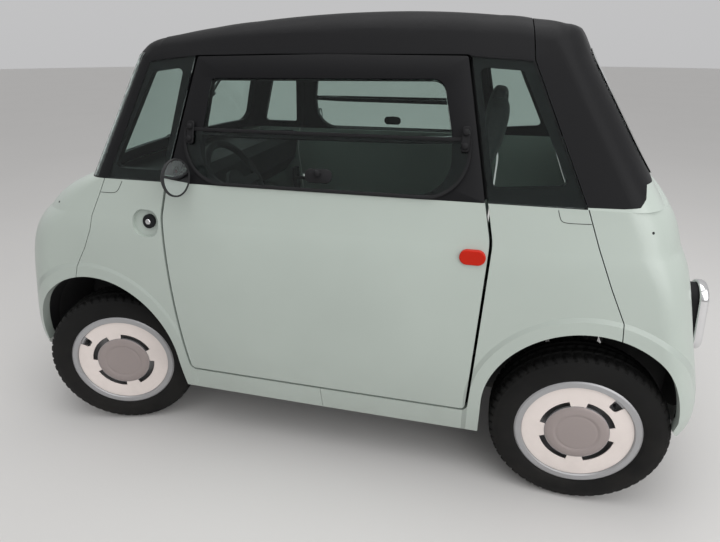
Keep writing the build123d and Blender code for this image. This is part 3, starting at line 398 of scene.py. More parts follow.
# Finishes: roughness low and high, grain or weave scale with its depth in mm, dust amount and
# reach, depth of the arch band in mm and plain shader settings. The colours are in the panel, and
# a finish without dust has an amount of 0.
DULL = {"Specular IOR Level": 0.2}
NO_DUST = (0.0, 0.6)
FINISHES = {
    "paint": dict(rough=(0.30, 0.40), grain=(260, 0.02), dust=(0.16, 0.5), flare=9.0,
                  plain={"Coat Weight": 0.3, "Coat Roughness": 0.25}),
    "roof": dict(rough=(0.42, 0.52), grain=(900, 0.03), plain={"Specular IOR Level": 0.15}),
    "inner": dict(rough=(0.55, 0.7), grain=(700, 0.10), dust=(0.05, 0.6)),
    "chassis": dict(rough=(0.45, 0.65), grain=(300, 0.10), dust=(0.5, 0.7)),
    "casing": dict(rough=(0.4, 0.6), grain=(400, 0.05), dust=(0.2, 0.6)),
    "rubber": dict(rough=(0.62, 0.8), grain=(900, 0.06), dust=(0.08, 0.6), plain=DULL),
    "seal": dict(rough=(0.6, 0.7), grain=(900, 0.03), dust=(0.05, 0.6), plain=DULL),
    "silver": dict(rough=(0.34, 0.46), grain=(800, 0.01), dust=(0.25, 0.6),
                   plain={"Metallic": 0.55}),
    "cap": dict(rough=(0.42, 0.5), grain=(900, 0.02), dust=(0.1, 0.6), plain={"Metallic": 0.3}),
    "cover": dict(rough=(0.26, 0.36), grain=(500, 0.01), dust=(0.25, 0.6)),
    "chrome": dict(rough=(0.08, 0.16), grain=(500, 0.005), plain={"Metallic": 1.0}),
    "mirror": dict(rough=(0.02, 0.04), plain={"Metallic": 1.0}),
    "red_lens": dict(rough=(0.08, 0.14), grain=(90, 0.02), plain={"Coat Weight": 0.6}),
    "orange_lens": dict(rough=(0.2, 0.3), grain=(160, 0.05), plain=DULL),
    "clear_lens": dict(rough=(0.06, 0.12), grain=(120, 0.02), plain={"Coat Weight": 0.8}),
    "fabric": dict(rough=(0.8, 0.92), weave=(420, 0.25), plain={"Sheen Weight": 0.25}),
}
GLASS = {"Transmission Weight": 1.0, "Roughness": 0.015, "IOR": 1.25}


def new_material(name, settings):
    """A material with its plain shader settings, its tree of nodes and its shader's inputs."""
    material = bpy.data.materials.new(name)
    material.use_nodes = True
    inputs = material.node_tree.nodes["Principled BSDF"].inputs
    for key, value in settings.items():
        inputs[key].default_value = value
    return material, Tree(material.node_tree), inputs


def toned(tone, share):
    """A share of a tone."""
    return tuple(part * share for part in tone)


def mottled(tree, tone, scale, share):
    """A slow mask, and a tone that falls to a share of itself along it."""
    mask = effect(tree, "slow_mottle", Scale=scale)["Mask"]
    return mask, tree.mix(mask, tone, toned(tone, share))


def finish(name):
    """The material of a finish, built when it is first asked for."""
    if name in bpy.data.materials:
        return bpy.data.materials[name]
    settings = bpy.context.scene.city_car_colours
    tone = tuple(getattr(settings, name))
    if name == "glass":
        material, tree, inputs = new_material(name, GLASS)
        tree.put(mottled(tree, tone, 2.0, 0.97)[1], inputs["Base Color"])
        return material
    spec = FINISHES[name]
    material, tree, inputs = new_material(name, spec.get("plain", {}))
    mask, shade = mottled(tree, tone, 2.5, 0.94)
    amount, reach = spec.get("dust", NO_DUST)
    dust = effect(tree, "road_dust", Reach=reach, Amount=amount)["Mask"]
    normal = None
    if "weave" in spec:
        scale, depth = spec["weave"]
        weave = effect(tree, "woven_cloth", Scale=scale)
        # Painted shade: the cloth's colour falls to 0.55 of itself in the hollows between the
        # threads, where the weave's height is low.
        shade = tree.mix(weave["Shade"], toned(tone, 0.55), tone)
        normal = tree.bump(weave["Height"], depth)
    elif "grain" in spec:
        scale, depth = spec["grain"]
        normal = tree.bump(effect(tree, "moulded_grain", Scale=scale)["Height"], depth)
    if "flare" in spec:
        normal = tree.bump(effect(tree, "arch_flare")["Height"], spec["flare"], normal)
    if normal is not None:
        tree.put(normal, inputs["Normal"])
    tree.put(tree.mix(dust, shade, tuple(settings.dust)), inputs["Base Color"])
    rough = tree.spread(mask, 0.0, 1.0, *spec["rough"])
    tree.put(tree.math("MULTIPLY_ADD", dust, 0.4, rough), inputs["Roughness"])
    return material


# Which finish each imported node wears
NODE_FINISH = {
    "paint": ("front_panel", "rear_panel", "door_panel_left", "door_panel_right",
              *("wing_" + wheel for wheel in WHEELS)),
    "roof": ("roof", "cabin_frame", "rear_surround", "door_frame_left", "door_frame_right"),
    "inner": ("arch_liners", "floor_pan", "dashboard", "steering_column", "steering_wheel",
              "seat_base", "wiper", "door_mirror_left", "door_mirror_right"),
    "chassis": ("chassis_frame", "front_suspension", "rear_suspension", "door_hinges",
                "knuckle_left", "knuckle_right"),
    "casing": ("battery_pack", "drive_motor"),
    "glass": ("windscreen", "rear_window", "quarter_glass", "door_glass_left", "door_glass_right"),
    "silver": tuple("rim_" + wheel for wheel in WHEELS),
    "cover": tuple("wheel_cover_" + wheel for wheel in WHEELS),
    "clear_lens": ("headlamps",),
    "red_lens": ("tail_lamps",),
    "orange_lens": ("side_marker_left", "side_marker_right"),
    "seal": ("latch_buttons",),
}


# ---------------------------------------------------------------- settings


def colour(label, text, value):
    """A setting for a colour."""
    return FloatVectorProperty(name=label, description=text, subtype="COLOR", size=3,
                               min=0.0, max=1.0, default=value)


def length(label, text, value, low, high):
    """A setting for a length in metres."""
    return FloatProperty(name=label, description=text, subtype="DISTANCE", unit="LENGTH",
                         default=value, min=low, max=high)


class CityCarColours(bpy.types.PropertyGroup):
    """Colours of the finishes."""

    paint: colour("Body paint", "Pale green of the painted panels", (0.445, 0.50, 0.457))
    roof: colour("Roof", "Satin black of the roof, pillars and door frames", (0.007, 0.007, 0.008))
    inner: colour("Inner plastic", "Matte black of the cabin and arches", (0.02, 0.02, 0.021))
    chassis: colour("Chassis", "Black of the frame and suspension", (0.02, 0.02, 0.02))
    casing: colour("Casings", "Grey of the battery and motor", (0.2, 0.2, 0.21))
    rubber: colour("Tyre", "Rubber of the tyres", (0.006, 0.006, 0.006))
    seal: colour("Seals", "Rubber of seals and buttons", (0.01, 0.01, 0.011))
    silver: colour("Trim rings", "Silver of the wheel rings", (0.42, 0.42, 0.43))
    cap: colour("Hub caps", "Grey of the hub caps", (0.35, 0.30, 0.29))
    cover: colour("Wheel covers", "Off-white of the wheel discs", (0.82, 0.74, 0.70))
    chrome: colour("Bezels", "Bright lamp bezels", (0.75, 0.75, 0.76))
    mirror: colour("Mirror glass", "Silvering of the mirrors", (0.8, 0.81, 0.82))
    red_lens: colour("Tail lenses", "Red of the tail lamps", (0.35, 0.01, 0.012))
    orange_lens: colour("Side markers", "Orange-red of the side markers", (0.52, 0.014, 0.003))
    clear_lens: colour("Head lenses", "Clear lenses over bright bowls", (0.75, 0.77, 0.78))
    fabric: colour("Seat cloth", "Dark grey seat cloth", (0.11, 0.11, 0.112))
    glass: colour("Glass", "Slightly green window glass", (0.70, 0.805, 0.77))
    dust: colour("Road dust", "Dust on the lower parts", (0.16, 0.14, 0.12))
    floor: colour("Floor", "Pale studio floor", (0.62, 0.61, 0.60))


class CityCarSizes(bpy.types.PropertyGroup):
    """Sizes of the new pieces."""

    tread_depth: length("Tread depth", "Depth of the main tyre grooves", 0.006, 0.001, 0.01)
    tread_pitches: IntProperty(name="Tread pitches", default=56, min=24, max=90,
                               description="Repeats of the tread round a tyre")
    seat_crown: length("Seat crown", "How far the seat padding swells", 0.012, 0.0, 0.04)
    seam_depth: length("Seam depth", "Depth of the sewn seat channels", 0.006, 0.0, 0.02)


# ---------------------------------------------------------------- pieces


class CITYCAR_OT_finishes(bpy.types.Operator):
    """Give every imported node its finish"""

    bl_idname = "city_car.finishes"
    bl_label = "Finishes"

    def execute(self, context):
        for name, nodes in NODE_FINISH.items():
            for node in nodes:
                mesh = frame["nodes"][node].data
                mesh.materials.clear()
                mesh.materials.append(finish(name))
        return {"FINISHED"}


def hub_of(wheel):
    """Centre and outward axle direction of a wheel, from its joint."""
    joint = next(j for j in frame["joints"] if j["name"] == "roll_" + wheel)
    return np.array(joint["pos_m"]), np.array(joint["axis"])


# Half of the tyre's section, radius and distance from mid-width: outside and inside
TYRE_OUTSIDE = ((178.2, 45), (178.2, 52), (178.4, 60), (187, 65.2), (196, 69.5), (210, 75),
                (226, 77.2), (243, 76), (257, 71.5), (267, 66.5), (273, 61), (276.4, 52),
                (277.8, 30), (278.4, 0))
TYRE_INSIDE = ((178.2, 45), (196, 60), (226, 66), (258, 58), (266, 40), (267, 0))
# Tread: the radius where it starts and over how much it deepens, and the middles, half width and
# soft edge of its round grooves
TREAD_FOOT = 264.0
TREAD_BLEND = 4.0
GROOVES = (-29.0, 0.0, 29.0)
GROOVE_HALF, GROOVE_SOFT = 3.2, 1.2
# Slots at the shoulders and sipes in the middle: share of the depth, pitches of slant for each mm
# across, shift, half width and soft edge in pitches, and the distance from mid-width where they end
SLOT_DEPTH_SHARE, SLOT_SLANT, SLOT_SHIFT, SLOT_HALF, SLOT_SOFT = 0.8, 0.009, 0.5, 0.11, 0.07
SIPE_DEPTH_SHARE, SIPE_SLANT, SIPE_SHIFT, SIPE_HALF, SIPE_SOFT = 0.45, -0.014, 0.25, 0.05, 0.06
SLOT_START = 38.0
SIPE_END = 26.0
# Thin rings on the walls: radius and half width, and how far they stand out
WALL_RINGS = ((262.0, 1.5), (205.0, 1.0))
WALL_RING_HEIGHT = 0.8
STEPS_PER_PITCH = 10


def dip(distance, half_width, soft):
    """1 within a half width of a line, falling evenly to 0 over a soft edge."""
    return 1 - np.clip((np.abs(distance) - half_width) / soft, 0, 1)


def tyre_grid(centre, axis, depth, pitches):
    """A tyre: a rounded section, radius against distance from mid-width, turned about the axle.

    Where the section is tread, the radius drops by the groove depth in three round grooves, and by
    less in slanted slots at the shoulders and sipes in the middle that repeat once a pitch:
    drop = depth max(rounds, slots, sipes), where each term falls to 0 outside its grooves. Two
    thin rings stand out on each wall.
    """
    outside, inside = (
        smooth_path([(r, way * h) for r, h in half] + [(r, -way * h) for r, h in half[-2::-1]], n)
        for half, way, n in ((TYRE_OUTSIDE, -1, 118), (TYRE_INSIDE, 1, 22)))
    section = np.vstack([outside, inside[1:-1]])
    r, h = section[:, :1], section[:, 1:]
    phase = turns(pitches * STEPS_PER_PITCH)[None] * pitches / (2 * np.pi)
    rounds = sum(dip(h - place, GROOVE_HALF, GROOVE_SOFT) for place in GROOVES)
    slots = dip((phase + h * SLOT_SLANT + SLOT_SHIFT) % 1 - 0.5, SLOT_HALF, SLOT_SOFT)
    slots = SLOT_DEPTH_SHARE * slots * np.clip((np.abs(h) - SLOT_START) / TREAD_BLEND, 0, 1)
    sipes = dip((phase + h * SIPE_SLANT + SIPE_SHIFT) % 1 - 0.5, SIPE_HALF, SIPE_SOFT)
    sipes = SIPE_DEPTH_SHARE * sipes * (np.abs(h) < SIPE_END)
    drop = np.clip(np.maximum(np.maximum(rounds, slots), sipes), 0, 1)
    drop = drop * depth * np.clip((r - TREAD_FOOT) / TREAD_BLEND, 0, 1)
    rings = WALL_RING_HEIGHT * sum(dip(r - at, half, half) for at, half in WALL_RINGS)
    is_outside = (np.arange(len(section)) < len(outside))[:, None]
    radius = r * MM - drop * is_outside
    reach = (h + np.sign(h) * rings * is_outside) * MM
    ring = turned_ring(axis, pitches * STEPS_PER_PITCH)
    return centre + reach[..., None] * axis + radius[..., None] * ring[None]


class CITYCAR_OT_tyres(bpy.types.Operator):
    """Build the four tyres with their tread"""

    bl_idname = "city_car.tyres"
    bl_label = "Tyres"

    def execute(self, context):
        sizes = context.scene.city_car_sizes
        for wheel in WHEELS:
            body = "wheel_" + wheel
            grid = tyre_grid(*hub_of(wheel), sizes.tread_depth, sizes.tread_pitches)
            piece = fitted("tread_" + wheel, grid, "rubber", body, "tyre_rubber", along=True)
            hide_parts("tyre_" + wheel)
        return {"FINISHED"}


# Seats: the cushion's middle and the back's foot in the side view, the back's lean in degrees and
# how far the middles of its pads lie behind the line from its foot
CUSHION_MIDDLE = (100.0, 545.0)
BACK_FOOT = (345.0, 500.0)
BACK_LEAN = 11.0
BACK_INSET = 31.0
# Pads: how far up the back, half sizes, seams as shares of them, and how much the pad tapers
PADS = (
    ("cushion", None, (226, 226, 43), (("across", -0.62), ("across", 0.62), ("along", -0.1)), 0.0),
    ("back", 300.0, (226, 285, 30), (("across", -0.62), ("across", 0.62), ("along", 0.25)), 0.08),
    ("headrest", 690.0, (122, 98, 30), (("along", -0.6),), 0.05),
)
# The grid of a pad, the powers that make its outline square and its edge round, and as shares of
# its half sizes where its faces start and how wide a seam is
PAD_ROWS, PAD_COLUMNS = 72, 144
PAD_SQUARE, PAD_EDGE = 0.28, 0.55
PAD_FACE = 0.8
SEAM_WIDTH = 0.035


def pad_grid(centre, along, up, half, crown, seams, seam_depth, taper):
    """A stuffed pad: a rounded box whose faces swell outwards between its edges.

    The direction (cos b cos a, cos b sin a, sin b) has its parts raised to small powers, which
    gives a box with round edges. The faces swell by crown (1 - x^2)(1 - y^2) and, past PAD_FACE of
    their height, sink along sewn seams by a bell curve of the distance from each seam.
    """
    b = np.linspace(-np.pi / 2, np.pi / 2, PAD_ROWS)[:, None]
    a = np.linspace(-np.pi, np.pi, PAD_COLUMNS, endpoint=False)[None]

    def power(value, exponent):
        return np.sign(value) * np.abs(value) ** exponent

    x = power(np.cos(b), PAD_SQUARE) * power(np.cos(a), PAD_SQUARE)
    y = power(np.cos(b), PAD_SQUARE) * power(np.sin(a), PAD_SQUARE)
    z = power(np.sin(b), PAD_EDGE) + 0 * a
    swell = crown * (1 - np.clip(x * x, 0, 1)) * (1 - np.clip(y * y, 0, 1))
    groove = sum(np.exp(-(((x if kind == "across" else y) - place) / SEAM_WIDTH) ** 2)
                 for kind, place in seams)
    lift = z * half[2] + np.sign(z) * (swell - seam_depth * groove * (np.abs(z) > PAD_FACE))
    width = x * half[0] * (1 - taper * (y + 1) / 2)
    across = np.array([0.0, 1.0, 0.0])
    reach = width[..., None] * across + (y * half[1])[..., None] * along
    return centre + reach + lift[..., None] * up


class CITYCAR_OT_seats(bpy.types.Operator):
    """Build the padded seats: cushion, back and headrest"""

    bl_idname = "city_car.seats"
    bl_label = "Seats"

    def execute(self, context):
        sizes = context.scene.city_car_sizes
        lean = math.radians(BACK_LEAN)
        back_up = np.array([math.sin(lean), 0, math.cos(lean)])
        back_out = np.array([-math.cos(lean), 0, math.sin(lean)])
        for side, _ in SIDES:
            low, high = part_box("seat_" + side)
            middle = np.array([0, (low.y + high.y) / 2, 0])
            for name, rise, half, seams, taper in PADS:
                along, up, (x, z) = back_up, back_out, BACK_FOOT
                offset = 0.0 if rise is None else back_up * rise - back_out * BACK_INSET
                if rise is None:
                    along, up, (x, z) = np.array([-1.0, 0, 0]), UP, CUSHION_MIDDLE
                centre = (np.array([x, 0, z]) + offset) * MM + middle
                grid = pad_grid(centre, along, up, np.array(half) * MM, sizes.seat_crown, seams,
                                sizes.seam_depth, taper)
                piece = fitted(f"seat_{name}_{side}", grid, "fabric", CAR, "seat_fabric")
                if name == "cushion":
                    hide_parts("seat_" + side)
        return {"FINISHED"}


# The disc in a door mirror: its middle on the right in metres, its turn in degrees and its profile
MIRROR_MIDDLE = (-0.425, 0.716, 1.052)
MIRROR_TURN = 9.0
MIRROR_DISC = ((0, -0.8), (20, -0.9), (40, -1.3), (53.5, -1.9), (54.5, -3.6), (0, -3.6))


class CITYCAR_OT_mirrors(bpy.types.Operator):
    """Build the silvered discs of the door mirrors"""

    bl_idname = "city_car.mirrors"
    bl_label = "Mirrors"

    def execute(self, context):
        turn = math.radians(MIRROR_TURN)
        for side, sign in SIDES:
            axis = np.array([math.cos(turn), sign * math.sin(turn), 0.0])
            grid = turned_grid(MIRROR_DISC, np.array(MIRROR_MIDDLE) * (1, sign, 1), axis, 96)
            fitted("mirror_disc_" + side, grid, "mirror", "door_" + side, "rim_silver")
        return {"FINISHED"}


# The crown of the roof, x and height: packed, and as the two arcs that it is shaped to here. The
# packed rise over the seam counts as at least 20, and the ratio of the two rises keeps its limits
PACKED_CROWN = ((-1200, 1200), (-760, 1455), (-700, 1472), (-560, 1500.7), (-400, 1519),
                (-250, 1527), (500, 1527), (600, 1517), (690, 1490), (760, 1455), (1200, 1200))
CROWN_PEAK = (200.0, 1523.0)
CROWN_FRONT_RADIUS = 4405.0
CROWN_REAR_RADIUS = 3233.0
LEAST_RISE = 20.0
RISE_RATIOS = (0.2, 1.2)
# The tail's corner: height, packed x and how far it comes in at the half width TAIL_HALF
TAIL_CORNER = ((212, 1150, 28), (378, 1222, 29), (600, 1168, 28), (760, 1126, 26), (897, 1068, 20),
               (955, 1048, 18), (1018, 1001, 14), (1540, 671, 22))
TAIL_HALF = 560.0
CORNER_REACH = 130.0
# The side openings' front edges move forward. Three lines each, at the belt and at the roof's seam:
# where the movement starts, the opening's front edge and its rear edge
OPENING_LINES = (((-737, -577), (-704, -543), (-534, -465)), ((517, 434), (556, 472), (756, 558)))
OPENING_SHIFT = 22.0
# Heights of the belt and the roof's seam, the half widths there past which a point is on the
# cabin's side, and the stretch over which it comes to count
BELT_AND_SEAM = (1018.0, 1400.0)
SIDE_START = (570.0, 430.0)
SIDE_BLEND = 20.0
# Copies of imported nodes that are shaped: node, slot and finish
RESHAPED = (
    ("roof", "satin_black", "roof"),
    ("cabin_frame", "satin_black", "roof"),
    ("rear_surround", "satin_black", "roof"),
    ("rear_panel", "body_green", "paint"),
    ("rear_window", "clear_glass", "glass"),
    ("windscreen", "clear_glass", "glass"),
    ("quarter_glass", "clear_glass", "glass"),
)
# In metres: the gaps between the cuts along X, Y and Z that let a copy bend, how far they stay from
# its end, and the distance under which its loose corners merge. In mm: how far its glass draws in
CUT_GAPS = (0.05, 0.07, 0.07)
CUT_MARGIN = 0.01
MERGE_DISTANCE = 1e-5
PANE_CLEARANCE = 0.4


def shaped(place):
    """Moves points of the body's skin to the roof's crown and the tail's rounded corners.

    Above the roof's seam the height over the seam is scaled by the ratio of the new crown, two arcs
    that meet at its peak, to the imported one. Near the tail x falls by d s(u) (|y| / 560)^2, where d
    depends on the height, s is 3u^2 - 2u^3 and u runs from 0 to 1 over the last stretch to the
    corner. On the cabin's sides x also falls by a share of the openings' shift that rises from 0 to
    1 at an opening's front edge and falls to 0 at its rear edge.
    """
    x, y, z = place.T / MM
    belt, seam = BELT_AND_SEAM
    run = x - CROWN_PEAK[0]
    radius = np.where(run < 0, CROWN_FRONT_RADIUS, CROWN_REAR_RADIUS)
    crown = CROWN_PEAK[1] - radius + np.sqrt(radius**2 - run**2)
    packed = np.interp(x, *np.array(PACKED_CROWN, float).T)
    ratio = np.clip((crown - seam) / np.maximum(packed - seam, LEAST_RISE), *RISE_RATIOS)
    over = np.maximum(z - seam, 0)
    level, corner, shift = np.array(TAIL_CORNER, float).T
    u = np.clip((x - np.interp(z, level, corner) + CORNER_REACH) / CORNER_REACH, 0, 1)
    outward = np.clip(np.abs(y) / TAIL_HALF, 0, 1)
    pull = np.interp(z, level, shift) * u * u * (3 - 2 * u) * outward**2
    side = np.clip((np.abs(y) - np.interp(z, BELT_AND_SEAM, SIDE_START)) / SIDE_BLEND, 0, 1)
    side = side * (z > belt)
    for lines in OPENING_LINES:
        start, edge, end = (np.interp(z, BELT_AND_SEAM, ends) for ends in lines)
        rising, falling = (x - start) / (edge - start), (end - x) / (end - edge)
        pull = pull + OPENING_SHIFT * np.clip(np.minimum(rising, falling), 0, 1) * side
    return np.stack([x - pull, y, z + over * (ratio - 1)], 1) * MM


class CITYCAR_OT_shell(bpy.types.Operator):
    """Shape the roof's crown and the tail's corners"""

    bl_idname = "city_car.shell"
    bl_label = "Roof and tail"

    def execute(self, context):
        for node, slot, look in RESHAPED:
            form = bmesh.new()
            form.from_mesh(frame["nodes"][node].data)
            bmesh.ops.remove_doubles(form, verts=form.verts, dist=MERGE_DISTANCE)
            place = np.array([v.co for v in form.verts])
            low, high = place.min(0), place.max(0)
            for axis, gap in enumerate(CUT_GAPS):
                way = np.eye(3)[axis]
                for value in np.arange(low[axis] + gap, high[axis] - CUT_MARGIN, gap):
                    whole = form.verts[:] + form.edges[:] + form.faces[:]
                    bmesh.ops.bisect_plane(form, geom=whole, plane_co=value * way, plane_no=way,
                                           dist=1e-6)
            form.normal_update()
            form.verts.index_update()
            inward = PANE_CLEARANCE * MM if look == "glass" else 0.0
            place = shaped(np.array([v.co - v.normal * inward for v in form.verts]))
            faces = [[v.index for v in face.verts] for face in form.faces]
            form.free()
            mesh = bpy.data.meshes.new(node + "_shell")
            mesh.from_pydata(place.tolist(), [], faces)
            piece = sit(mesh_object(node + "_shell", mesh, finish(look)), CAR)
            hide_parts(node)
        return {"FINISHED"}


# Outlines on the cabin's side, x and z with corner radii, and the middles where their rays start
DOOR_EDGE = ((-507.4, 1018, 0.5), (507.4, 1018, 0.5), (422.8, 1402.5, 7.5), (14, 1406, 1500),
             (-424.2, 1397.5, 7.5))
DOOR_HOLE = ((-402, 1025, 110), (408, 1031, 96), (399, 1188, 1), (361, 1341, 42), (-371, 1334, 14),
             (-390, 1178, 1))
PANE_EDGE = ((-389, 1178, 5), (398, 1188, 5), (360.5, 1340.5, 42), (-370.5, 1333.5, 14))
BAR_EDGE = ((-396, 1164, 1), (404, 1170, 1), (399, 1186, 1), (-391, 1176, 1))
FLAP_EDGE = ((-450, 1021, 140), (453, 1021, 120), (455, 1184, 3), (-452, 1184, 3))
DOOR_MIDDLE = (0.0, 1180.0)
PANE_MIDDLE = (0.0, 1260.0)
BAR_MIDDLE = (0.0, 1174.0)
FLAP_MIDDLE = (0.0, 1105.0)
# Sections of the pieces along them: how far out of the outline and how deep under the skin
RIM_EDGE = ((0, 2), (-0.6, 0.6), (-2, 0))
RIM_HOLE = ((2.5, 0), (0.7, 0.7), (0, 2.5), (0, 26), (2, 28))
RIM_BACK = ((-2, 28), (0, 26))
PANE = ((-1, 1), (0, 2), (0, 5), (-1, 6))
FLAP = ((-1, -5.3), (0, -4.3), (0, -1.6), (-1, -0.6))
BAR = ((-1, 0.2), (0, 1.2), (0, 20), (-1, 21))
FLAP_RUBBER = ((3, -5), (1, -8), (-5, -8), (-7.5, -6.6), (-7.5, -5.4), (0.3, -5.4), (0.3, -0.4),
               (3, -0.4))
SEAL = ((14, 16), (6, 16), (6, 32), (-6, 32), (-6, 36), (14, 36))
SEAL_FOOT = 1030.0
# The flap's hinges and its latch: places, half sizes and corners of their plates, and their knobs
FLAP_HINGES = ((-428, 1171), (438, 1182))
HINGE_HALF, HINGE_CORNER = (12, 34), 8
HINGE_PLATE = ((-2, -14), (0, -12), (0, -8.2), (-2, -8.2))
HINGE_KNOBS = (-19, 17)
HINGE_KNOB_DEPTH = -13.8
HINGE_KNOB = ((0, 9), (5, 8.6), (8.6, 6.5), (10, 3), (10, 0), (0, 0))
LATCH_MIDDLE = (10, 1064)
LATCH_HALF, LATCH_CORNER = (43, 20), 18
LATCH_PLATE = ((-3, -11), (0, -9), (0, -5.5), (-3, -5.5))
LATCH_KNOB_PLACE = (10, 1070, -11)
LATCH_KNOB = ((0, 20), (5, 19), (9, 16), (11, 11.5), (10, 7), (6, 3), (6, 0), (0, 0))


class CITYCAR_OT_windows(bpy.types.Operator):
    """Build the doors' frames, fixed panes, flaps with rubber edges, hinges and latches"""

    bl_idname = "city_car.windows"
    bl_label = "Door windows"

    def execute(self, context):
        edge, hole = (rounded_loop(corners, DOOR_MIDDLE, 720) for corners in (DOOR_EDGE, DOOR_HOLE))
        pane, bar = rounded_loop(PANE_EDGE, PANE_MIDDLE), rounded_loop(BAR_EDGE, BAR_MIDDLE)
        flap = rounded_loop(FLAP_EDGE, FLAP_MIDDLE, 480)
        for side, sign in SIDES:
            body = "door_" + side
            rim = np.stack(side_rows(edge, RIM_EDGE, sign) + side_rows(hole, RIM_HOLE, sign)
                           + side_rows(edge, RIM_BACK, sign))
            piece = fitted("door_rim_" + side, rim, "roof", body, "satin_black", along=True)
            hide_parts("door_frame_" + side)
            panes = [np.stack(side_rows(pane, PANE, sign)), np.stack(side_rows(flap, FLAP, sign))]
            piece = fitted("door_panes_" + side, panes, "glass", body, "clear_glass", caps=True)
            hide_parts("door_glass_" + side)
            self.seal("door_seal_" + side, edge, sign)
            self.rubber("door_bar_" + side, bar, BAR, sign, body, caps=True)
            self.rubber("flap_rubber_" + side, flap, FLAP_RUBBER, sign, body, along=True)
            for number, (x, z) in enumerate(FLAP_HINGES):
                name = f"flap_hinge_{number}_{side}"
                plate = rounded_box((x, z), HINGE_HALF, HINGE_CORNER, 96)
                self.rubber(name, plate, HINGE_PLATE, sign, body, caps=True)
                for knob, rise in enumerate(HINGE_KNOBS):
                    place = (x, z + rise, HINGE_KNOB_DEPTH)
                    self.knob(f"{name}_knob_{knob}", HINGE_KNOB, place, sign, body, 40)
            plate = rounded_box(LATCH_MIDDLE, LATCH_HALF, LATCH_CORNER, 160)
            self.rubber("flap_latch_" + side, plate, LATCH_PLATE, sign, body, caps=True)
            self.knob("flap_knob_" + side, LATCH_KNOB, LATCH_KNOB_PLACE, sign, body, 48)
        return {"FINISHED"}

    def seal(self, name, edge, sign):
        """The rubber round the doorway's top and sides: an angle section behind the door's edge."""
        loop = np.roll(edge, -len(edge) // 4, axis=0)
        grid = np.stack(side_rows(loop, SEAL, sign), 1)[loop[:, 1] > SEAL_FOOT]
        fitted(name, grid, "seal", CAR, "inner_black", caps=True)

    def rubber(self, name, loop, section, sign, body, **closed):
        """A black piece on a door's side: an outline carried through a section."""
        grid = np.stack(side_rows(loop, section, sign))
        fitted(name, grid, "seal", body, "inner_black", **closed)

    def knob(self, name, profile, place, sign, body, count):
        """A turned black knob that stands straight out of a door's side."""
        grid = turned_grid(profile, *side_axis(*place, sign), count)
        fitted(name, grid, "seal", body, "inner_black")


# Wheel covers: how far each is turned, in degrees, its edges, the tabs between its slots with the
# circle that they are measured on, and the notch for the valve with its circle and its bow
COVER_TURN = {"front_left": 145.0, "front_right": 200.0, "rear_left": 50.0, "rear_right": 310.0}
COVER_HOLE, COVER_RADIUS = 99.4, 170.6
SLOT_DEPTH, SLOT_CIRCLE = 17.6, 108
TAB_HALF = 24.5
TAB_PERIOD = 90
NOTCH_DEPTH, NOTCH_CIRCLE = 34, 152
NOTCH_HALF = 17.5
NOTCH_FLAT, NOTCH_BOW_WIDTH, NOTCH_BOW = 9, 8, 0.25
# Section of a cover: share of the way out, growth and height over the hub
COVER_SECTION = ((0, 0, 63.2), (0, 0, 65.4), (0, 0.6, 66), (0.33, 0, 66.6), (0.66, 0, 66.7),
                 (1, -0.6, 66), (1, 0, 65.4), (1, 0, 63.2))
HUB_CAP = ((0, 71.2), (56, 71.2), (60, 71.0), (63, 70.2), (66, 70.2), (69, 72.2), (74, 72.4),
           (86, 71.4), (95, 69), (98.6, 66.5), (98.8, 64), (0, 64))
VALVE = ((0, 70), (2.6, 70), (3.4, 69), (3.4, 62), (4.6, 60), (4.8, 52), (0, 52))
VALVE_RADIUS = 150.0


def off_nearest(angle, period, radius):
    """Distance along a circle from the nearest of places that repeat every period of degrees."""
    return np.abs((angle + period / 2) % period - period / 2) * np.pi / 180 * radius


def cover_grid(centre, axis, along, turn):
    """A wheel cover: a flat ring between an inner and an outer radius that change with the angle.

    The inner radius is the hole's over four tabs and steps out by the slots' depth between them.
    The outer radius steps in by the notch's depth d at the valve. Past the flat middle of the notch
    the depth falls as d (1 - b u^2), where u runs from 0 to 1 over the bow's width.
    """
    angle = turns(1440)
    local = np.degrees(angle) - turn
    tab = off_nearest(local - TAB_PERIOD / 2, TAB_PERIOD, SLOT_CIRCLE)
    notch = off_nearest(local, 360, NOTCH_CIRCLE)
    inner = COVER_HOLE + SLOT_DEPTH * np.clip(tab - TAB_HALF, 0, 1)
    bowed = 1 - NOTCH_BOW * np.clip((notch - NOTCH_FLAT) / NOTCH_BOW_WIDTH, 0, 1) ** 2
    outer = COVER_RADIUS - NOTCH_DEPTH * np.clip(NOTCH_HALF - notch, 0, 1) * bowed
    ring = np.cos(angle)[:, None] * along + np.sin(angle)[:, None] * UP
    return np.stack([centre + ((inner + (outer - inner) * share + grow) * MM)[:, None] * ring
                     + height * MM * axis for share, grow, height in COVER_SECTION])


class CITYCAR_OT_wheels(bpy.types.Operator):
    """Build the wheel covers with their slots and valve notch, the hub caps and the valves"""

    bl_idname = "city_car.wheels"
    bl_label = "Wheel covers"

    def execute(self, context):
        for wheel in WHEELS:
            body = "wheel_" + wheel
            centre, axis = hub_of(wheel)
            along = np.cross(UP, axis)
            grid = cover_grid(centre, axis, along, COVER_TURN[wheel])
            cover = fitted("cover_" + wheel, grid, "cover", body, "cover_white", along=True)
            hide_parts("wheel_cover_" + wheel)
            grid = turned_grid(HUB_CAP, centre, axis, 144)
            fitted("hub_cap_" + wheel, grid, "cap", body, "rim_silver")
            turn = math.radians(COVER_TURN[wheel])
            foot = centre + VALVE_RADIUS * MM * (math.cos(turn) * along + math.sin(turn) * UP)
            grid = turned_grid(VALVE, foot, axis, 24)
            fitted("valve_" + wheel, grid, "seal", body, "tyre_rubber")
        return {"FINISHED"}


# Tail lamps: middle on the tail, half sizes and corner radius, and how far the face falls back for
# each mm of height
TAIL_LAMP = (490.0, 668.0)
TAIL_LAMP_HALF, TAIL_LAMP_CORNER = (52.0, 112.0), 51.5
LAMP_TILT = 0.09
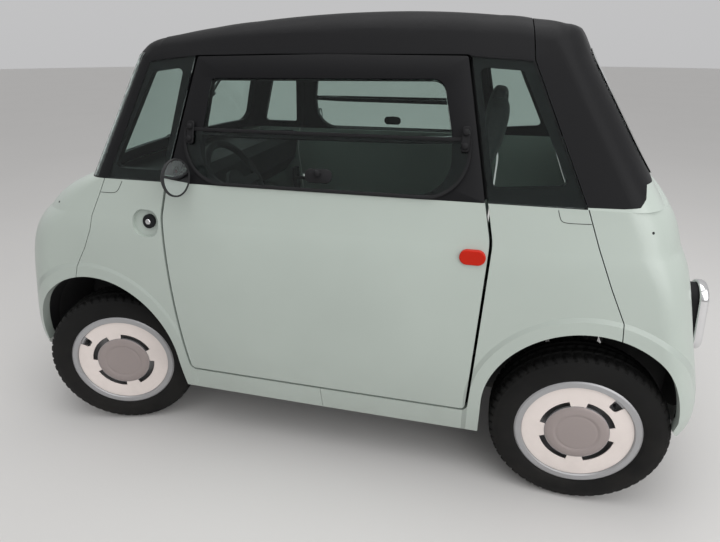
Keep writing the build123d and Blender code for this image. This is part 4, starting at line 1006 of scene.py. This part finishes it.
# Pieces of a tail lamp: finish, slot, and section as growth of the outline and distance along X
TAIL_LAMP_PIECES = (
    ("necks", "seal", "inner_black", ((-9, 1085), (-9, 1168), (-14, 1168), (-14, 1085))),
    ("bezels", "chrome", "rim_silver",
     ((-3, 1156), (0, 1159), (1, 1166), (0, 1175), (-2.5, 1180), (-6, 1182), (-9, 1181),
      (-11, 1178), (-12, 1173), (-12, 1156))),
    ("lenses", "red_lens", "lamp_red",
     ((-12.5, 1110), (-12.5, 1168), (-14, 1172), (-18, 1175.5), (-26, 1178), (-40, 1179.5))),
)
# Front lamps: place across and up, radius and distance of the face. A ring's profile, its radius
# counted from theirs
HEAD_LAMPS = ((480.0, 672.0, 82.0, 1203.0), (480.0, 800.0, 30.0, 1150.0))
HEAD_RING = ((1, -26), (7, -22), (8, -8), (5, 2), (1, 4), (-4, 2.5), (-6, 0.3), (0.5, -4))


def tail_grids(loop, section):
    """An outline at distances along X, leaning with the tail, on both its sides."""
    y, z = TAIL_LAMP
    grids = []
    for _, sign in SIDES:
        rows = []
        for out, x in section:
            across, rise = grown(loop, out).T
            rows.append(np.stack([x - LAMP_TILT * rise, sign * (y + across), z + rise], 1) * MM)
        grids.append(np.stack(rows))
    return grids


class CITYCAR_OT_lamps(bpy.types.Operator):
    """Build the tail lamps with their bright bezels and the rings of the front lamps"""

    bl_idname = "city_car.lamps"
    bl_label = "Lamps"

    def execute(self, context):
        outline = rounded_box((0, 0), TAIL_LAMP_HALF, TAIL_LAMP_CORNER, 240)
        for name, look, slot, section in TAIL_LAMP_PIECES:
            is_lens = name == "lenses"
            piece = fitted("tail_lamp_" + name, tail_grids(outline, section), look, CAR, slot,
                           along=not is_lens, caps=is_lens)
            if is_lens:
                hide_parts("tail_lamps")
        for side, sign in SIDES:
            for number, (y, z, radius, face) in enumerate(HEAD_LAMPS):
                profile = [(radius + out, rise) for out, rise in HEAD_RING]
                grid = turned_grid(profile, np.array([-face, sign * y, z]) * MM, (-1, 0, 0), 120)
                fitted(f"head_ring_{number}_{side}", grid, "chrome", CAR, "rim_silver", along=True)
        return {"FINISHED"}


# Key cylinders: place along and up the doors in metres, tilt and profile
KEY_PLACE = (0.588, 0.884)
KEY_TILT = 0.06
KEY_CYLINDER = ((0, 1.5), (6, 1.5), (8.5, 1.2), (9.5, 0), (9.5, -3), (0, -3))


class CITYCAR_OT_latches(bpy.types.Operator):
    """Build the key cylinders in the doors' push buttons"""

    bl_idname = "city_car.latches"
    bl_label = "Door latches"

    def execute(self, context):
        low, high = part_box("latch_buttons")
        reach = max(abs(low.y), abs(high.y))
        for side, sign in SIDES:
            face = np.array([sign * KEY_PLACE[0], sign * reach, KEY_PLACE[1]])
            axis = unit((0.0, sign, KEY_TILT))
            grid = turned_grid(KEY_CYLINDER, face, axis, 48, up=(1.0, 0.0, 0.0))
            fitted("key_cylinder_" + side, grid, "chrome", CAR, "rim_silver")
        return {"FINISHED"}


# Small seams on the wings, x and z, and two small plugs, seen on the driver's side
WING_SEAMS = (
    ("front", "wing_front_left",
     ((-766, 971), (-740, 971), (-712, 973), (-696, 984), (-679, 1012))),
    ("rear", "wing_rear_left",
     ((706, 1012), (712, 994), (719, 983), (734, 979), (766, 979), (799, 980))),
)
SEAM_RADIUS = 0.9
PLUGS = (("rear", "rear_panel", (955, 965)), ("front", "front_panel", (-957, 921)))
PLUG = ((0, 0.8), (3, 0.7), (4, 0), (4, -2), (0, -2))
# Arch linings: radius and thickness, the heights of the outer and the inner foot, the body's half
# width and its end against height, the half width they reach in to, and the round of the corner
ARCH_RADIUS, ARCH_THICK = 298.8, 3.0
ARCH_FEET = (345.0, 228.0)
ARCH_HALF = ((212, 378, 600, 760), (634, 672, 690, 685))
ARCH_END = ((212, 378, 600, 760), (1118, 1189, 1136, 1094))
ARCH_INNER = 585.0
CORNER_ROUND = 135.0


def on_skin(node, points):
    """Where lines along Y through points in the side view, x and z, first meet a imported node."""
    mesh = frame["nodes"][node].data
    place = np.array([vertex.co for vertex in mesh.vertices])
    if node in [entry[0] for entry in RESHAPED]:
        place = shaped(place)
    tree = BVHTree.FromPolygons(place.tolist(), [list(face.vertices) for face in mesh.polygons])
    hits = [tree.ray_cast((x * MM, -2.0, z * MM), (0.0, 1.0, 0.0)) for x, z in points]
    return [(np.array(hit), np.array(normal)) for hit, normal, _, _ in hits if hit is not None]


def arch_grid(way, sign, steps=90, leg_steps=12):
    """A wheel arch's lining: half a ring over two upright legs, from the skin in to a half width.

    The skin's half width follows the height. Past the start of the round corner at the car's end it
    falls as R - sqrt(R^2 - p^2), where p is the distance past that start.
    """
    x, z = ARCH_CENTRE
    angle = np.linspace(0, np.pi, steps)
    outer_leg, inner_leg = (np.linspace(foot, z, leg_steps) - z for foot in ARCH_FEET)
    leg = np.ones(leg_steps - 1)
    run = np.concatenate([leg, np.cos(angle), -leg])
    arc = np.concatenate([0 * leg, np.sin(angle), 0 * leg])
    rise = np.concatenate([outer_leg[:-1], 0 * angle, inner_leg[-2::-1]])
    rows = []
    for grow, is_inner in ((0, False), (ARCH_THICK, False), (ARCH_THICK, True), (0, True)):
        level = z + (ARCH_RADIUS + grow) * arc + rise
        reach = x + (ARCH_RADIUS + grow) * run
        past = np.clip(reach - np.interp(level, *ARCH_END) + CORNER_ROUND, 0, CORNER_ROUND)
        half = np.interp(level, *ARCH_HALF) - CORNER_ROUND + np.sqrt(CORNER_ROUND**2 - past**2)
        half = np.minimum(half, ARCH_INNER) if is_inner else half
        rows.append(np.stack([way * reach, sign * half, level], 1) * MM)
    return np.stack(rows, 1)


class CITYCAR_OT_wings(bpy.types.Operator):
    """Build the wings' small seams and plugs and the black linings of the wheel arches"""

    bl_idname = "city_car.wings"
    bl_label = "Wings"

    def execute(self, context):
        for name, node, points in WING_SEAMS:
            path = np.array([place for place, _ in on_skin(node, smooth_path(points, 60))])
            grid = tube_grid(path, SEAM_RADIUS * MM, 10)
            fitted("wing_seam_" + name, grid, "seal", CAR, "inner_black", caps=True)
        for name, node, point in PLUGS:
            place, normal = on_skin(node, [point])[0]
            fitted("plug_" + name, turned_grid(PLUG, place, normal, 32), "seal", CAR, "inner_black")
        for end, way in (("front", -1), ("rear", 1)):
            for side, sign in SIDES:
                name = f"arch_lining_{end}_{side}"
                fitted(name, arch_grid(way, sign), "seal", CAR, "inner_black", caps=True)
        return {"FINISHED"}


# The stage, in metres: rings of the floor, and name, place, target, size and power of each lamp
FLOOR_RINGS = (0.0, 1.5, 3.0, 6.0, 12.0, 40.0)
STUDIO_LAMPS = (
    ("overhead", (0.3, -0.6, 4.2), (0.0, 0.0, 0.6), 4.0, 90.0),
    ("window", (3.6, -3.0, 2.6), (0.6, 0.0, 0.7), 4.0, 95.0),
)
# The sky: its strength, its colours low and high up, and the heights between which they blend
SKY_STRENGTH = 0.66
SKY_LOW, SKY_HIGH = (0.78, 0.78, 0.79), (1.0, 1.0, 1.0)
SKY_SPAN = (-0.1, 0.9)
# The camera fitted to the photograph: place, turn, fall and roll in radians, and focal length in
# pixels of a picture 720 wide
CAMERA_PLACE = (0.5194458, -2.1343442, 1.4326936)
CAMERA_TURN, CAMERA_FALL, CAMERA_ROLL = -0.2488501944, 0.4077234579, -0.0008401251
CAMERA_FOCUS = 525.6176
PICTURE_WIDTH = 720
SENSOR_WIDTH = 36.0


class CITYCAR_OT_stage(bpy.types.Operator):
    """Lay the floor and set the lights and the camera"""

    bl_idname = "city_car.stage"
    bl_label = "Stage"

    def execute(self, context):
        radius, angle = np.array(FLOOR_RINGS)[:, None], turns(64)
        grid = np.stack([radius * np.cos(angle), radius * np.sin(angle), 0 * radius * angle], -1)
        material, tree, inputs = new_material("studio_floor", {"Roughness": 0.75})
        tone = tuple(context.scene.city_car_colours.floor)
        tree.put(mottled(tree, tone, 0.8, 0.98)[1], inputs["Base Color"])
        sheet_mesh("floor", grid[1:], material, smooth=False)
        sheet_mesh("floor_middle", grid[:2], material, smooth=False)
        self.lights(context.scene)
        self.camera(context.scene)
        context.scene.view_settings.view_transform = "Standard"
        return {"FINISHED"}

    def lights(self, scene):
        """A sky that is a little brighter overhead, and two wide lamps."""
        world = bpy.data.worlds.new("studio")
        world.use_nodes = True
        scene.world = world
        tree = Tree(world.node_tree)
        background = world.node_tree.nodes["Background"].inputs
        background["Strength"].default_value = SKY_STRENGTH
        height = tree.spread(tree.parts(tree.place("Generated"))["Z"], *SKY_SPAN)
        tree.put(tree.mix(height, SKY_LOW, SKY_HIGH), background["Color"])
        for name, place, target, size, power in STUDIO_LAMPS:
            lamp = bpy.data.lights.new(name, "AREA")
            lamp.energy, lamp.size = power, size
            holder = bpy.data.objects.new(name, lamp)
            scene.collection.objects.link(holder)
            holder.location = place
            way = Vector(target) - Vector(place)
            holder.rotation_euler = way.to_track_quat("-Z", "Y").to_euler()

    def camera(self, scene):
        """The camera's right, up and backward directions and its place make its matrix."""
        forward = np.array([math.sin(CAMERA_TURN), math.cos(CAMERA_TURN), 0.0])
        ahead = math.cos(CAMERA_FALL) * forward - math.sin(CAMERA_FALL) * UP
        level = np.array([math.cos(CAMERA_TURN), -math.sin(CAMERA_TURN), 0.0])
        upright = np.cross(level, ahead)
        right = math.cos(CAMERA_ROLL) * level + math.sin(CAMERA_ROLL) * upright
        up = math.cos(CAMERA_ROLL) * upright - math.sin(CAMERA_ROLL) * level
        data = bpy.data.cameras.new("view")
        data.sensor_width = SENSOR_WIDTH
        data.lens = CAMERA_FOCUS / PICTURE_WIDTH * SENSOR_WIDTH
        camera = bpy.data.objects.new("view", data)
        scene.collection.objects.link(camera)
        matrix = np.eye(4)
        matrix[:3] = np.stack([right, up, -ahead, CAMERA_PLACE], 1)
        camera.matrix_world = Matrix(matrix.tolist())
        scene.camera = camera


# ---------------------------------------------------------------- panel and registration


OPERATORS = (
    CITYCAR_OT_finishes,
    CITYCAR_OT_tyres,
    CITYCAR_OT_seats,
    CITYCAR_OT_mirrors,
    CITYCAR_OT_shell,
    CITYCAR_OT_windows,
    CITYCAR_OT_wheels,
    CITYCAR_OT_lamps,
    CITYCAR_OT_latches,
    CITYCAR_OT_wings,
    CITYCAR_OT_stage,
)


class CITYCAR_PT_panel(bpy.types.Panel):
    """Lists the pieces and their settings"""

    bl_idname = "CITYCAR_PT_panel"
    bl_label = "City Car"
    bl_space_type = "VIEW_3D"
    bl_region_type = "UI"
    bl_category = "City Car"

    def draw(self, context):
        layout = self.layout
        for group in (context.scene.city_car_sizes, context.scene.city_car_colours):
            for key in group.__annotations__:
                layout.prop(group, key)
        for operator in OPERATORS:
            layout.operator(operator.bl_idname)


CLASSES = (CityCarColours, CityCarSizes, *OPERATORS, CITYCAR_PT_panel)


def register():
    for item in CLASSES:
        bpy.utils.register_class(item)
    bpy.types.Scene.city_car_colours = PointerProperty(type=CityCarColours)
    bpy.types.Scene.city_car_sizes = PointerProperty(type=CityCarSizes)


def unregister():
    del bpy.types.Scene.city_car_sizes
    del bpy.types.Scene.city_car_colours
    for item in reversed(CLASSES):
        bpy.utils.unregister_class(item)


def main():
    register()
    bpy.ops.city_car.finishes()
    bpy.ops.city_car.tyres()
    bpy.ops.city_car.seats()
    bpy.ops.city_car.mirrors()
    bpy.ops.city_car.shell()
    bpy.ops.city_car.windows()
    bpy.ops.city_car.wheels()
    bpy.ops.city_car.lamps()
    bpy.ops.city_car.latches()
    bpy.ops.city_car.wings()
    bpy.ops.city_car.stage()


if __name__ == "__main__":
    main()
